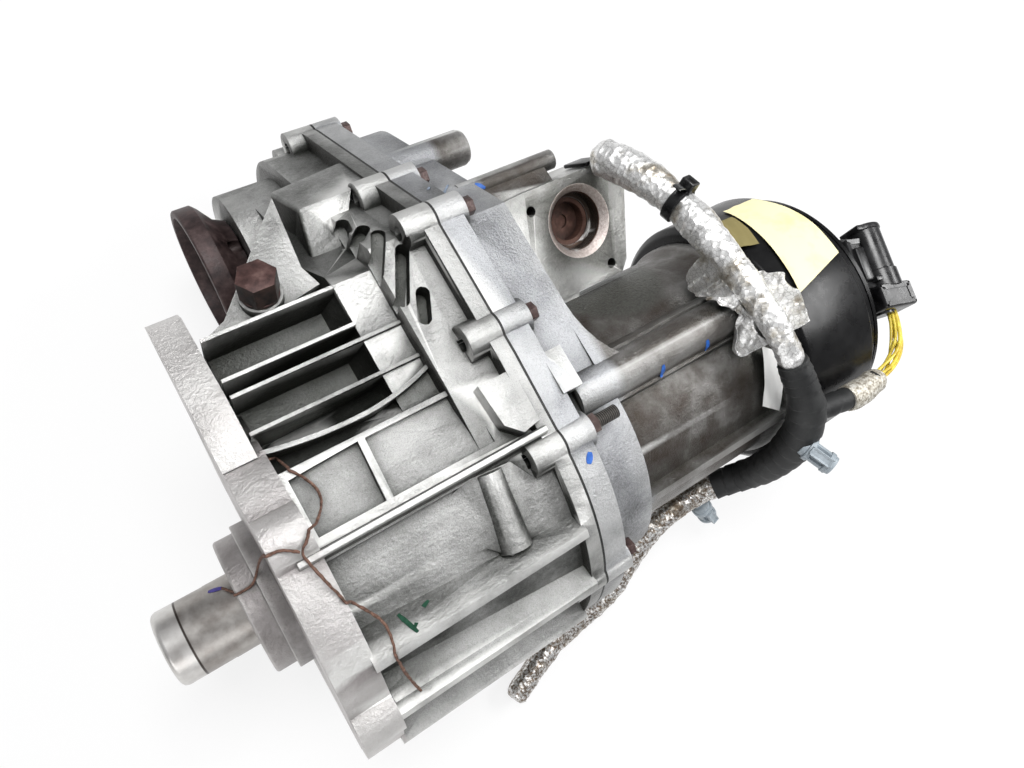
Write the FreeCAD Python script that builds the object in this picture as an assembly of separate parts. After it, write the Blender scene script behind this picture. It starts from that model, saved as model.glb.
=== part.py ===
import FreeCAD, Part
import math
import os

os.makedirs("parts", exist_ok=True)

# Two-speed transfer case with a chain drive to the front output, in millimetres.
# The origin is on the input axis, in the front face of the gearbox flange.
# +X runs rearwards along the shafts, +Y towards the front output and +Z up.

# Chain drive. The front output axis is placed by the chain's length.
chain_pitch = 12.7
chain_links = 58
sprocket_teeth = 24
shaft_distance = chain_pitch * (chain_links - sprocket_teeth) / 2
sprocket_radius = chain_pitch / (2 * math.sin(math.pi / sprocket_teeth))
chain_start = 147.0
chain_width = 24.0
chain_height = 11.0
chain_clearance = 0.4
chain_case_clearance = 3.0
chain_reach = sprocket_radius + chain_height / 2 + chain_case_clearance
sprocket_clearance = 0.06

# Case halves, as seen along the shafts.
split_x = 157.0
gasket_thickness = 1.5
main_case_radius = 108.0
front_case_radius = 74.0
plateau_rise = 4.0
plateau_top = main_case_radius + plateau_rise
plateau_left = 44.0
plateau_right = 137.0
joint_land = 16.0
rim_depth = 9.0
rear_rim_depth = 15.0
rear_shoulder_step = 17.0
shoulder_end = 209.0
chain_room_end = 173.0
clutch_land = 24.0
wall = 6.0

# Gearbox flange. The case rests on its lowest lobe, on a foot rib and on the front output's rim.
flange_thickness = 22.0
flange_radius = main_case_radius
flange_lobe_radius = 16.0
flange_bolt_radius = flange_radius - 7.0
flange_bolt_hole = 5.5
flange_bolt_count = 6
flange_first_angle = 22.0
lowest_lobe_angle = flange_first_angle + 240.0
foot_reach = flange_lobe_radius - flange_bolt_radius * math.sin(math.radians(lowest_lobe_angle))
front_z = front_case_radius - foot_reach
front_y = math.sqrt(shaft_distance ** 2 - front_z ** 2)
ear_hole = 5.5
ear_hole_place = (139.0, 54.0)

# Bell round the planetary gears.
bell_bore = 84.0
bell_rear_radius = main_case_radius - 7.0
bell_front_radius = bell_rear_radius - 10.0

# Front half beside the bell: floor between the ribs, first and second steps of the chain case.
valley_top = 62.0
rib_top = 88.0
rib_thickness = 4.0
rib_start = 20.0
low_step_x = 95.0
low_step = 27.0
high_step_x = 118.0
high_step = 11.0
curved_rib_y = 53.0
curved_rib_low_x = 72.0
curved_rib_end = 131.0
curved_rib_bow = 0.004
curved_rib_thickness = 2.5
curved_rib_steps = 16
pocket_half = 4.0
pocket_floor = 23.0
box_inset = 2.0
box_break = 182.0
box_foot = 152.0
box_corner = 136.0
box_rounding = 3.0
box_front_x = low_step_x + 2.0
box_kink_x = low_step_x + 6.5
box_step_x = high_step_x - 1.0
box_side_y = 209.0
box_outer_y = 216.0
box_low_z = 10.0
box_foot_z = 60.0
bell_rib_angles = (122, 143, 168, 200, 226)
bell_rib_reach = main_case_radius + 4.0
bell_rib_half = 2.5
bell_rib_foot = 12.0
foot_rib_half = 7.0
gusset_top = 78.0
web_ridge_top = 8.0
web_ridge_foot = 9.5

# Front output housing.
housing_front = 79.0
housing_radius = 51.0
output_shaft_radius = 15.0
output_bearing_radius = 31.0
output_bearing_width = 16.0
output_bearing_x = 94.0
rear_output_bearing_x = shoulder_end - wall - output_bearing_width
output_seal_inner = 22.0
rim_inner = 46.0
pocket_places = (((120, 163), (118, 156)), ((126, 151), (119, 145)), ((130, 142), (116, 119)),
                 ((135, 125), (121, 99)), ((133, 98), (127, 85)))

# Fill plug and drain plug.
plug_x = 59.0
plug_y = 139.0
plug_tilt = 17.0
plug_boss_radius = 12.0
plug_washer_radius = 10.5
plug_across_flats = 20.0
plug_head_height = 14.0
plug_thread_radius = 9.0
drain_x = 200.0
drain_y = 12.0
drain_boss_radius = 15.0
drain_radius = 9.0

# Shafts, bearings and seals.
shaft_journal = 22.5
bearing_bore_radius = 42.5
bearing_width = 19.0
running_gap = 0.05
seat_gap = 0.02
plate_gap = 0.3
input_front = -66.0
retainer_seat = 3.0
front_bearing_x = retainer_seat + 0.3
nose_bore_radius = 38.8
seal_start = -13.0
retainer_front = -21.0
retainer_opening = 31.0
seal_width = 8.0
bearing_shoulder = 37.0
pilot_radius = 41.5
collar_radius = 45.5
retainer_flange_radius = 50.0
bearing_face_gap = 0.3
spline_bore_radius = 16.0
pilot_journal = 12.0
pilot_start = 34.0
spline_radius = 22.0
hub_start = 434.0
hub_spline_radius = 17.0
rear_seal_radius = 34.0

# Planetary gears.
gear_module = 2.5
sun_teeth = 33
planet_teeth = 12
planet_count = 3
ring_teeth = sun_teeth + 2 * planet_teeth
tooth_backlash = 0.35
tooth_addendum = 0.8
ring_addendum = 0.6
tooth_dedendum = 1.1
pressure_angle = math.radians(20.0)
gear_start = 30.0
gear_width = 26.0
ring_outer_radius = bell_bore - seat_gap
carrier_plate = 4.5
pin_radius = 5.0
carrier_radius = 67.0
sun_tip_radius = gear_module * (sun_teeth / 2 + tooth_addendum)

# Range sleeve, fork and rail.
sleeve_nose_radius = 27.0
nose_start = 44.0
groove_start = 78.0
fork_boss_start = 74.0
fork_boss_radius = 12.0
rail_start = 52.0
rail_end = 226.0
range_travel = 14.0
rail_seat_end = rail_end + range_travel + 3.0
rail_seat_radius = 13.0
groove_width = 8.0
groove_radius = 42.0
sleeve_flange_radius = 50.0
rail_radius = 7.0
rail_y = 97.0
rail_z = 14.0

# Tail and clutch.
tail_radius = 80.0
tail_end = 345.0
tail_wall = 6.0
clutch_drum_radius = 70.0
clutch_start = 184.0
clutch_length = 84.0
main_shaft_radius = 24.0
rear_bearing_x = 322.0
rear_wall_x = 318.0
drum_hub_radius = 34.0
clutch_hub_radius = 46.0
clutch_pairs = 5
plate_pitch = 3.0
ramp_start = clutch_start + clutch_length + 4.0
pump_start = 298.0
tail_flange_radius = 84.0
tail_rib_angles = (140, 200, 250, 305)
tail_rib_reach = 88.0
rear_lug_low = 12.0
rear_lug_high = 37.0
rear_lug_start = 171.0
rear_lug_end = 184.0
fillet_length = 36.0
fillet_width = 52.0
fillet_steps = 8
rail_boss_y = 205.0
rail_boss_z = 31.0
rail_boss_radius = 12.5
rail_boss_end = 240.0
boss_rounding = 4.0
vent_y = 158.0
vent_z = 66.0
vent_boss_radius = 6.5
vent_boss_end = 272.0
foil_radius = 101.0
connector_x = 456.0
stud_reach = 22.0
ridge_radius = 13.0
ridge_y = 9.0
ridge_z = 87.0
ridge_start = 184.0
ridge_end = 326.0

# Black clutch actuator housing behind the tail.
drum_radius = 95.0
drum_start = tail_end
drum_end = 424.0
drum_wall = 4.0
drum_rim_step = 7.0
cover_thickness = 5.0

# Output flanges.
front_flange_rim_radius = 51.0
front_flange_front = 49.0
front_flange_rear = output_bearing_x - bearing_face_gap
front_flange_face = front_flange_front + 9.0
front_nut_seat = front_flange_front + 21.0
front_flange_bolt_radius = 36.0
front_flange_holes = 6
front_flange_hole = 4.25
rear_flange_radius = 47.0
rear_flange_end = 458.0
rear_flange_thickness = 10.0
rear_flange_bolt_radius = 36.0
rear_flange_holes = 4
rear_flange_hole = 4.25

# Case bolts, M8 flange bolts with 10 mm heads.
bolt_inset = 8.5
boss_radius = 11.0
bolt_radius = 4.0
bolt_hole = 4.3
bolt_across_flats = 10.0
bolt_washer_radius = 6.6
bolt_head_height = 6.0
washer_thickness = 1.6
nut_height = 7.0
bolt_head_room = bolt_washer_radius + 0.5
front_boss_start = 137.0
rear_boss_end = 177.0

# Machined actuator pad on the rear half, tilted about X.
pad_centre = (266.75, 113.2, 60.0)
pad_tilt = 30.0
pad_depth = 42.0
pad_bore_radius = 19.0
pad_bore_chamfer = 24.0
pad_bore_depth = 14.0
pad_bore_place = (3.5, -0.5)
cup_radius = 16.0
cup_depth = 26.0
pad_taps = ((-30.0, 17.5), (20.0, -36.5))
pad_far_edge = 31.0
pad_tap_radius = 3.4
pad_tap_depth = 16.0

# Wiring harness.
sleeve_radius = 10.0
taped_radius = 11.0
lead_radius = 5.0
stub_radius = 8.0


def vec(x, y, z):
    return FreeCAD.Vector(x, y, z)


x_axis = vec(1, 0, 0)


def save(name, shape):
    shape.exportStep("parts/" + name + ".step")


def rod(radius, start, end, y=0.0, z=0.0):
    return Part.makeCylinder(radius, end - start, vec(start, y, z), x_axis)


def tube(outer, inner, start, end, y=0.0, z=0.0):
    return rod(outer, start, end, y, z).cut(rod(inner, start - 1, end + 1, y, z))


def turned(points, y=0.0, z=0.0):
    """Solid turned about an axis along X from (x, radius) points."""
    corners = [vec(x, y + radius, z) for x, radius in points]
    face = Part.Face(Part.makePolygon(corners + corners[:1]))
    return face.revolve(vec(0, y, z), x_axis, 360)


def prism_x(points, start, end):
    """Prism along X from (y, z) points."""
    corners = [vec(start, y, z) for y, z in points]
    face = Part.Face(Part.makePolygon(corners + corners[:1]))
    return face.extrude(vec(end - start, 0, 0))


def prism_z(points, bottom, top):
    """Upright prism from (x, y) points."""
    corners = [vec(x, y, bottom) for x, y in points]
    face = Part.Face(Part.makePolygon(corners + corners[:1]))
    return face.extrude(vec(0, 0, top - bottom))


def block(x0, x1, y0, y1, z0, z1):
    return Part.makeBox(x1 - x0, y1 - y0, z1 - z0, vec(x0, y0, z0))


def joined(shapes):
    result = shapes[0]
    if len(shapes) > 1:
        result = result.fuse(shapes[1:])
    return result.removeSplitter()


def polar(radius, degrees, y=0.0, z=0.0):
    angle = math.radians(degrees)
    return (y + radius * math.cos(angle), z + radius * math.sin(angle))


# Outline of the case in the YZ plane: two circles, a flat top and the tangents between them.

def touching_normal(corner, centre, radius, side):
    """Angle of the normal of the line from corner that touches a circle."""
    dy = corner[0] - centre[0]
    dz = corner[1] - centre[1]
    swing = math.acos(radius / math.hypot(dy, dz))
    return math.atan2(dz, dy) + side * swing


slant_normal = touching_normal((plateau_right, plateau_top), (front_y, front_z), front_case_radius, -1)
left_normal = touching_normal((plateau_left, plateau_top), (0.0, 0.0), main_case_radius, 1)
lower_sine = (main_case_radius - front_case_radius) / shaft_distance
lower_normal = math.atan2(front_z, front_y) - math.acos(lower_sine)


def on_normal(centre, radius, angle):
    return (centre[0] + radius * math.cos(angle), centre[1] + radius * math.sin(angle))


def slant_height(y, inset):
    """Height of the slanted side at y, for an outline moved in by inset."""
    reach = front_case_radius - inset
    return front_z + (reach - math.cos(slant_normal) * (y - front_y)) / math.sin(slant_normal)


def slant_place(z, inset):
    reach = front_case_radius - inset
    return front_y + (reach - math.sin(slant_normal) * (z - front_z)) / math.cos(slant_normal)


def left_place(z, inset):
    return (main_case_radius - inset - math.sin(left_normal) * z) / math.cos(left_normal)


def outline_face(inset, x):
    main_r = main_case_radius - inset
    front_r = front_case_radius - inset
    top = plateau_top - inset
    main_top = on_normal((0.0, 0.0), main_r, left_normal)
    main_low = on_normal((0.0, 0.0), main_r, lower_normal)
    main_mid = on_normal((0.0, 0.0), main_r, (left_normal + lower_normal + 2 * math.pi) / 2)
    front_top = on_normal((front_y, front_z), front_r, slant_normal)
    front_low = on_normal((front_y, front_z), front_r, lower_normal)
    front_mid = on_normal((front_y, front_z), front_r, (slant_normal + lower_normal) / 2)
    left_corner = (left_place(top, inset), top)
    right_corner = (slant_place(top, inset), top)

    def at(place):
        return vec(x, place[0], place[1])

    edges = [
        Part.Arc(at(main_low), at(main_mid), at(main_top)).toShape(),
        Part.LineSegment(at(main_top), at(left_corner)).toShape(),
        Part.LineSegment(at(left_corner), at(right_corner)).toShape(),
        Part.LineSegment(at(right_corner), at(front_top)).toShape(),
        Part.Arc(at(front_top), at(front_mid), at(front_low)).toShape(),
        Part.LineSegment(at(front_low), at(main_low)).toShape(),
    ]
    return Part.Face(Part.Wire(edges))


def outline(inset, start, end):
    return outline_face(inset, start).extrude(vec(end - start, 0, 0))


def lower_place(share, inset):
    """Point on the lower tangent, share of the way from the main circle to the front one."""
    low_a = on_normal((0.0, 0.0), main_case_radius - inset, lower_normal)
    low_b = on_normal((front_y, front_z), front_case_radius - inset, lower_normal)
    return (low_a[0] + share * (low_b[0] - low_a[0]), low_a[1] + share * (low_b[1] - low_a[1]))


def bolt_places():
    """Case bolts round the outline. The first one is the stud."""
    main_r = main_case_radius - bolt_inset
    front_r = front_case_radius - bolt_inset
    places = [polar(main_r, 95.5)]
    for angle in (146, 190, 232):
        places.append(polar(main_r, angle))
    for share in (0.12, 0.5, 0.88):
        places.append(lower_place(share, bolt_inset))
    for angle in (-48, 0, 38):
        places.append(polar(front_r, angle, front_y, front_z))
    places.append((176.0, slant_height(176.0, bolt_inset)))
    places.append((plateau_right - 3.0, plateau_top - bolt_inset))
    places.append((62.0, plateau_top - bolt_inset))
    return places


# Gears

def involute(angle):
    return math.tan(angle) - angle


def tooth_half_angle(teeth, radius, share):
    """Half the angle that a tooth takes at a radius. It is straight below the base circle."""
    pitch_radius = gear_module * teeth / 2
    base_radius = pitch_radius * math.cos(pressure_angle)
    leaning = math.acos(min(1.0, base_radius / radius))
    return math.pi * share / teeth + involute(pressure_angle) - involute(leaning)


def gear_outline(teeth, inner, outer, share, first_angle):
    """(y, z) points of a gear with four points on each flank."""
    pitch_radius = gear_module * teeth / 2
    radii = [inner, (inner + pitch_radius) / 2, pitch_radius, outer]
    levels = [(radius, tooth_half_angle(teeth, radius, share)) for radius in radii]
    points = []
    for tooth in range(teeth):
        middle = first_angle + tooth * 2 * math.pi / teeth
        for radius, spread in levels:
            points.append((radius * math.cos(middle - spread), radius * math.sin(middle - spread)))
        for radius, spread in reversed(levels):
            points.append((radius * math.cos(middle + spread), radius * math.sin(middle + spread)))
    return points


tooth_share = 0.5 - tooth_backlash / (2 * math.pi * gear_module)


def outside_gear(teeth, start, end, y=0.0, z=0.0, first_angle=0.0):
    pitch_radius = gear_module * teeth / 2
    inner = pitch_radius - tooth_dedendum * gear_module
    outer = pitch_radius + tooth_addendum * gear_module
    gear = prism_x(gear_outline(teeth, inner, outer, tooth_share, first_angle), start, end)
    gear.translate(vec(0, y, z))
    return gear


# Front half

def flange_plate():
    plate = [rod(flange_radius, 0, flange_thickness)]
    for index in range(flange_bolt_count):
        y, z = polar(flange_bolt_radius, flange_first_angle + index * 360 / flange_bolt_count)
        plate.append(rod(flange_lobe_radius, 0, flange_thickness, y, z))
    ear = [(58, 92), (78, 93), (94, 93), (107, 88), (148, 72), (157, 56), (150, 40), (110, 8), (60, 0)]
    plate.append(prism_x(ear, 0, flange_thickness - 4.0))
    return joined(plate)


def flange_holes():
    holes = []
    for index in range(flange_bolt_count):
        y, z = polar(flange_bolt_radius, flange_first_angle + index * 360 / flange_bolt_count)
        holes.append(rod(flange_bolt_hole, -1, flange_thickness + 1, y, z))
    holes.append(rod(ear_hole, -1, flange_thickness + 1, ear_hole_place[0], ear_hole_place[1]))
    return holes


def side_hull():
    """Body between the flange and the chain case, on the front output's side."""
    plan = [(rib_start, 0), (rib_start, 126), (36, 134), (95, 193), (split_x, 215), (split_x, 0)]
    hull = prism_z(plan, -120, 120)
    section = [(rib_start, -90), (rib_start, valley_top), (low_step_x - 8, valley_top),
               (low_step_x + 3, valley_top + 22), (split_x, 120), (split_x, -130), (60, -110)]
    corners = [vec(x, -20, z) for x, z in section]
    face = Part.Face(Part.makePolygon(corners + corners[:1]))
    profile = face.extrude(vec(0, 260, 0))
    hull = hull.common(profile)
    return hull.common(outline(low_step, rib_start, split_x))


def duct():
    """Raised duct on top of the bell, with its side crest and two recessed panels."""
    low = 60.0
    top = plateau_top - high_step
    crest = plateau_top
    body = prism_x([(-4, low), (-4, top), (45, top - 5), (50, low)], rib_start, 152)
    side = prism_x([(-7, low), (-1.8, crest - 2), (-1, crest), (1.5, crest), (2.3, crest - 2), (7, low)],
                   10, 152)
    lug = prism_z([(130, 37), (132, 12), (140, 4), (151, 6), (152, 37)], low, crest - 1)
    solid = body.fuse([side, lug])
    front_panel = prism_z([(25, 8), (25, 40), (64, 42), (62, 8)], top - 9, crest + 2)
    rear_panel = prism_z([(66, 8), (68, 42), (127, 42), (127, 8)], top - 9, crest + 2)
    return solid.cut(front_panel).cut(rear_panel)


def ribs():
    """Straight cooling ribs between the flange and the chain case."""
    places = [(126.0, 94.0, rib_thickness), (102.0, 95.0, rib_thickness), (92.5, 127.0, rib_thickness),
              (71.0, 129.0, rib_thickness)]
    solids = []
    for y, end, thickness in places:
        crest = thickness / 4
        solids.append(prism_x([(y - thickness, valley_top - 14), (y - crest, rib_top), (y + crest, rib_top),
                               (y + thickness, valley_top - 14)], rib_start, end))
    curved = []
    for index in range(curved_rib_steps + 1):
        x = rib_start + (curved_rib_end - rib_start) * index / curved_rib_steps
        bow = curved_rib_bow if x > curved_rib_low_x else curved_rib_bow / 2
        curved.append((x, curved_rib_y + bow * (x - curved_rib_low_x) ** 2))
    curved += [(x, y + curved_rib_thickness) for x, y in reversed(curved)]
    solids.append(prism_z(curved, valley_top - 14, rib_top + 2))
    return solids


def bell_ribs():
    """Ribs along the lower side of the bell, each wide at its foot."""
    solids = []
    for angle in bell_rib_angles:
        rib = prism_x([(bell_bore, -bell_rib_foot), (bell_rib_reach, -bell_rib_half),
                       (bell_rib_reach, bell_rib_half), (bell_bore, bell_rib_foot)],
                      rib_start, split_x - rim_depth + 1)
        rib.rotate(vec(0, 0, 0), x_axis, angle)
        solids.append(rib)
    return solids


def wedge(top, bottom):
    """Upright prism under a slanted triangle."""
    low = [vec(p.x, p.y, bottom) for p in top]
    faces = [Part.Face(Part.makePolygon(top + top[:1])), Part.Face(Part.makePolygon(low + low[:1]))]
    for index in range(3):
        after = (index + 1) % 3
        faces.append(Part.Face(Part.makePolygon([top[index], top[after], low[after], low[index],
                                                 top[index]])))
    return Part.makeSolid(Part.makeShell(faces))


def faceted_web():
    """Web between the duct and the joint, with a sharp apex over the bell and a round ridge down to it."""
    left = vec(70.3, -10.5, 86)
    upper_left = vec(103.3, -2.9, 101)
    upper_right = vec(127.6, -5.4, 103)
    right = vec(152.5, -42.2, 88)
    middle = vec(134.3, -43.9, 88)
    apex = vec(107.5, -48.7, 90)
    bottom = 50.0
    ridge_top = vec(115.5, -4.0, 98)
    ridge_foot = vec(112.0, -46.0, 86.5)
    run = ridge_foot.sub(ridge_top)
    ridge = Part.makeCone(web_ridge_top, web_ridge_foot, run.Length, ridge_top, run)
    return [wedge([left, upper_left, apex], bottom), wedge([upper_left, upper_right, apex], bottom),
            wedge([upper_right, middle, apex], bottom), wedge([upper_right, right, middle], bottom), ridge]


def outline_bosses(start, end):
    return [rod(boss_radius, start, end, y, z) for y, z in bolt_places()]


def chain_room(start, end):
    """Space for the chain: a slot with round ends about both shafts."""
    slope = math.atan2(front_z, front_y)
    side = (-math.sin(slope) * chain_reach, math.cos(slope) * chain_reach)
    middle = prism_x([side, (front_y + side[0], front_z + side[1]), (front_y - side[0], front_z - side[1]),
                      (-side[0], -side[1])], start, end)
    return middle.fuse([rod(chain_reach, start, end), rod(chain_reach, start, end, front_y, front_z)])


def gusset():
    """Triangular web between the flange and the front output housing, which carries the fill plug."""
    plan = [(rib_start, 128), (36, 135), (91, 192), (86.5, 147), (91, 134), (60, 128)]
    return prism_z(plan, valley_top - 30, gusset_top)


def pocket(deep, open_end):
    """Slanting slot with round ends between two fingers of the second step."""
    middle_y = (deep[1] + open_end[1]) / 2
    floor = min(slant_height(middle_y, pocket_floor), plateau_top - pocket_floor)
    dx = deep[0] - open_end[0]
    dy = deep[1] - open_end[1]
    run = math.hypot(dx, dy)
    side_x = -dy / run * pocket_half
    side_y = dx / run * pocket_half
    slot = prism_z([(deep[0] + side_x, deep[1] + side_y), (deep[0] - side_x, deep[1] - side_y),
                    (open_end[0] - side_x, open_end[1] - side_y),
                    (open_end[0] + side_x, open_end[1] + side_y)],
                   floor, plateau_top)
    ends = [Part.makeCylinder(pocket_half, plateau_top - floor, vec(x, y, floor)) for x,
            y in (deep, open_end)]
    return slot.fuse(ends)


def side_box():
    """Box-shaped bulge beside the front output housing, with a sloping side."""
    plan = [(box_front_x, box_side_y), (box_kink_x, box_break), (box_front_x, box_foot),
            (box_step_x, box_foot),
            (box_corner, box_break), (split_x - wall, box_break), (split_x - wall, box_outer_y)]
    walls = prism_z(plan, box_low_z, plateau_top)
    far_y = box_outer_y + 2
    cover = prism_x([(far_y, box_low_z), (far_y, slant_height(far_y, box_inset)),
                     (box_break, slant_height(box_break, box_inset)), (box_foot, box_foot_z),
                     (box_foot, box_low_z)], box_front_x - 7, split_x)
    box = walls.common(cover)
    edges = [edge for edge in box.Edges if edge.BoundBox.ZMax > box_foot_z - 10
             and edge.BoundBox.XMin < box_corner + 10 and abs(edge.BoundBox.XMax - box_corner) > 1]
    return box.makeFillet(box_rounding, edges)


def foot_rib():
    """Rib under the bell that the case stands on."""
    return block(rib_start, split_x, -foot_rib_half, foot_rib_half, -foot_reach, -bell_bore)


def rail_space():
    """Room for the fork and its boss beside the gears."""
    reach = fork_boss_radius + 5.0
    return block(fork_boss_start - 4, split_x + 1, bell_bore - 24, rail_y + reach, rail_z - reach,
                 rail_z + reach)


def plug_frame(shape):
    """Places a shape made along Z at the fill plug's seat."""
    shape.rotate(vec(0, 0, 0), x_axis, -plug_tilt)
    shape.translate(vec(plug_x, plug_y, gusset_top))
    return shape


def front_case():
    bell = Part.makeCone(bell_front_radius, bell_rear_radius, split_x - rib_start, vec(rib_start, 0, 0),
                         x_axis)
    body = [flange_plate(), bell, side_hull(), duct(), gusset(), foot_rib(), side_box()]
    body += ribs()
    body += bell_ribs()
    body += faceted_web()
    body.append(outline(low_step, low_step_x, split_x))
    body.append(outline(high_step, high_step_x, split_x))
    body.append(outline(0, split_x - rim_depth, split_x))
    body.append(rod(housing_radius, housing_front, split_x, front_y, front_z))
    body.append(plug_frame(Part.makeCylinder(plug_boss_radius, 14, vec(0, 0, -11))))
    body += outline_bosses(front_boss_start, split_x)
    solid = joined(body)
    cuts = [rod(bell_bore, flange_thickness + 1, split_x + 1)]
    cuts.append(rod(bearing_bore_radius, retainer_seat - 1, flange_thickness + 2))
    cuts.append(rod(retainer_flange_radius + seat_gap, -1, retainer_seat))
    cuts.append(chain_room(chain_start - 5, split_x + 1))
    cuts += flange_holes()
    cuts += [rod(bolt_hole, front_boss_start - 1, split_x + 1, y, z) for y, z in bolt_places()]
    cuts.append(rod(output_bearing_radius, housing_front - 1, output_bearing_x + output_bearing_width,
                    front_y, front_z))
    cuts.append(rod(output_bearing_radius - 4, housing_front - 1, split_x, front_y, front_z))
    cuts += [pocket(deep, open_end) for deep, open_end in pocket_places]
    cuts.append(rail_space())
    cuts.append(rod(rail_radius + running_gap, rail_start - 2, split_x, rail_y, rail_z))
    cuts.append(plug_frame(Part.makeCylinder(plug_thread_radius + seat_gap, 40, vec(0, 0, -20))))
    solid = solid.cut(cuts)
    return solid.removeSplitter()


# Joint between the halves

def case_gasket():
    sheet = outline(0, split_x, split_x + gasket_thickness)
    sheet = sheet.fuse(outline_bosses(split_x, split_x + gasket_thickness))
    holes = [rod(bolt_hole, split_x - 1, split_x + 3, y, z) for y, z in bolt_places()]
    room = [outline(joint_land, split_x - 1, split_x + 3), chain_room(split_x - 1, split_x + 3)]
    return sheet.cut(room + holes).removeSplitter()


def hexagon(across_flats, start, end, y=0.0, z=0.0):
    corner = across_flats / math.sqrt(3)
    points = [polar(corner, 60 * index + 30, y, z) for index in range(6)]
    return prism_x(points, start, end)


def flange_bolt(y, z):
    """Case bolt with a washer face, from the rear, and its shank through both halves."""
    seat = rear_boss_end + washer_thickness
    washer = rod(bolt_washer_radius, rear_boss_end, seat, y, z)
    head = hexagon(bolt_across_flats, seat, seat + bolt_head_height, y, z)
    shank = rod(bolt_radius, front_boss_start + 4, rear_boss_end, y, z)
    return washer.fuse([head, shank]).removeSplitter()


def split_stud(y, z):
    return rod(bolt_radius, front_boss_start + 4, rear_boss_end + stud_reach, y, z)


def split_stud_nut(y, z):
    nut = hexagon(bolt_across_flats + 1, rear_boss_end, rear_boss_end + nut_height, y, z)
    return nut.cut(rod(bolt_radius + seat_gap, rear_boss_end - 1, rear_boss_end + nut_height + 1, y, z))


# Rear half

def on_pad(shape):
    """Places a shape made with its face at Z=0 on the machined pad."""
    shape.rotate(vec(0, 0, 0), x_axis, pad_tilt)
    shape.translate(vec(*pad_centre))
    return shape


def pad_body():
    face = [(-56, 29), (-31, 30.5), (37.5, 30.5), (45, 7), (33, -38), (27, -45.5), (-11, -45), (-15, -52),
            (-44, -66)]
    return on_pad(prism_z(face, -pad_depth, 0))


def shoulder_fillet():
    """Hollow curve that carries the rear half's shoulder down on to the ridge of the tail."""
    plan = [(shoulder_end - 4, ridge_y), (shoulder_end - 4, ridge_y + fillet_width)]
    for index in range(fillet_steps + 1):
        share = index / fillet_steps
        plan.append((shoulder_end + fillet_length * (1 - math.cos(share * math.pi / 2)),
                     ridge_y + fillet_width * (1 - math.sin(share * math.pi / 2))))
    return prism_z(plan, 30, plateau_top - rear_shoulder_step)


def rear_case():
    start = split_x + gasket_thickness
    body = [outline(0, start, start + rear_rim_depth), outline(rear_shoulder_step, start, shoulder_end)]
    body += outline_bosses(start, rear_boss_end)
    body.append(rod(tail_radius, start, tail_end))
    body.append(turned([(tail_end - 16, 0), (tail_end - 16, tail_radius), (tail_end - 6, tail_flange_radius),
                        (tail_end, tail_flange_radius), (tail_end, 0)]))
    body.append(rod(ridge_radius, ridge_start, ridge_end, ridge_y, ridge_z))
    body.append(Part.makeSphere(ridge_radius, vec(ridge_end, ridge_y, ridge_z)))
    body.append(prism_x([(-8, 70), (-6, ridge_z), (24, ridge_z), (34, 60)], start, ridge_end - 12))
    body.append(pad_body())
    body.append(rod(rail_seat_radius, shoulder_end - wall, rail_seat_end + 4, rail_y, rail_z))
    body.append(turned([(start, 0), (start, rail_boss_radius),
                        (rail_boss_end - boss_rounding, rail_boss_radius),
                        (rail_boss_end - boss_rounding * 0.3, rail_boss_radius - boss_rounding * 0.3),
                        (rail_boss_end, rail_boss_radius - boss_rounding), (rail_boss_end, 0)],
                       rail_boss_y, rail_boss_z))
    body.append(rod(vent_boss_radius, shoulder_end - 10, vent_boss_end, vent_y, vent_z))
    body.append(prism_x([(136, 60), (136, 71), (vent_y - 5, vent_z + 4), (vent_y + 5, vent_z - 4),
                         (vent_y + 5, 38)],
                        shoulder_end - 10, vent_boss_end - 10))
    body.append(shoulder_fillet())
    body.append(block(start, rear_lug_end, rear_lug_low, rear_lug_high, plateau_top - 24, plateau_top - 6))
    body.append(block(rear_lug_start, rear_lug_end, rear_lug_low, rear_lug_high, plateau_top - 24,
                      plateau_top - 1))
    body.append(Part.makeCylinder(drain_boss_radius, 40, vec(drain_x, drain_y, -foot_reach)))
    for angle in tail_rib_angles:
        rib = block(shoulder_end - 2, tail_end - 14, tail_radius - 6, tail_rib_reach, -3, 3)
        rib.rotate(vec(0, 0, 0), x_axis, angle)
        body.append(rib)
    solid = joined(body)
    cuts = [chain_room(start - 1, chain_room_end), outline(clutch_land, start - 1, shoulder_end - wall)]
    cuts.append(rod(tail_radius - tail_wall, shoulder_end - wall - 1, rear_wall_x))
    cuts.append(rod(bearing_bore_radius, rear_wall_x - 1, rear_bearing_x + bearing_width))
    cuts.append(rod(bearing_shoulder, rear_wall_x - 1, tail_end + 1))
    cuts.append(rod(rail_radius + running_gap, shoulder_end - wall - 1, rail_seat_end, rail_y, rail_z))
    u, v = pad_bore_place
    cuts.append(on_pad(Part.makeCylinder(pad_bore_radius, pad_bore_depth, vec(u, v, -pad_bore_depth))))
    cuts.append(on_pad(Part.makeCylinder(cup_radius + seat_gap, cup_depth, vec(u, v, -cup_depth))))
    rim = pad_bore_chamfer - pad_bore_radius
    cuts.append(on_pad(Part.makeCone(pad_bore_radius, pad_bore_chamfer, rim, vec(u, v, -rim))))
    for u, v in pad_taps:
        cuts.append(on_pad(Part.makeCylinder(pad_tap_radius, pad_tap_depth, vec(u, v, -pad_tap_depth))))
    for y, z in bolt_places():
        cuts.append(rod(bolt_hole, start - 1, rear_boss_end + 1, y, z))
        cuts.append(rod(bolt_head_room, rear_boss_end, shoulder_end + 1, y, z))
    cuts.append(Part.makeCylinder(drain_radius + seat_gap, 50, vec(drain_x, drain_y, -foot_reach - 5)))
    solid = solid.cut(cuts)
    seat = tube(output_bearing_radius + 6, output_bearing_radius, rear_output_bearing_x,
                shoulder_end - wall + 1,
                front_y, front_z)
    return solid.fuse(seat).removeSplitter()


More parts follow.
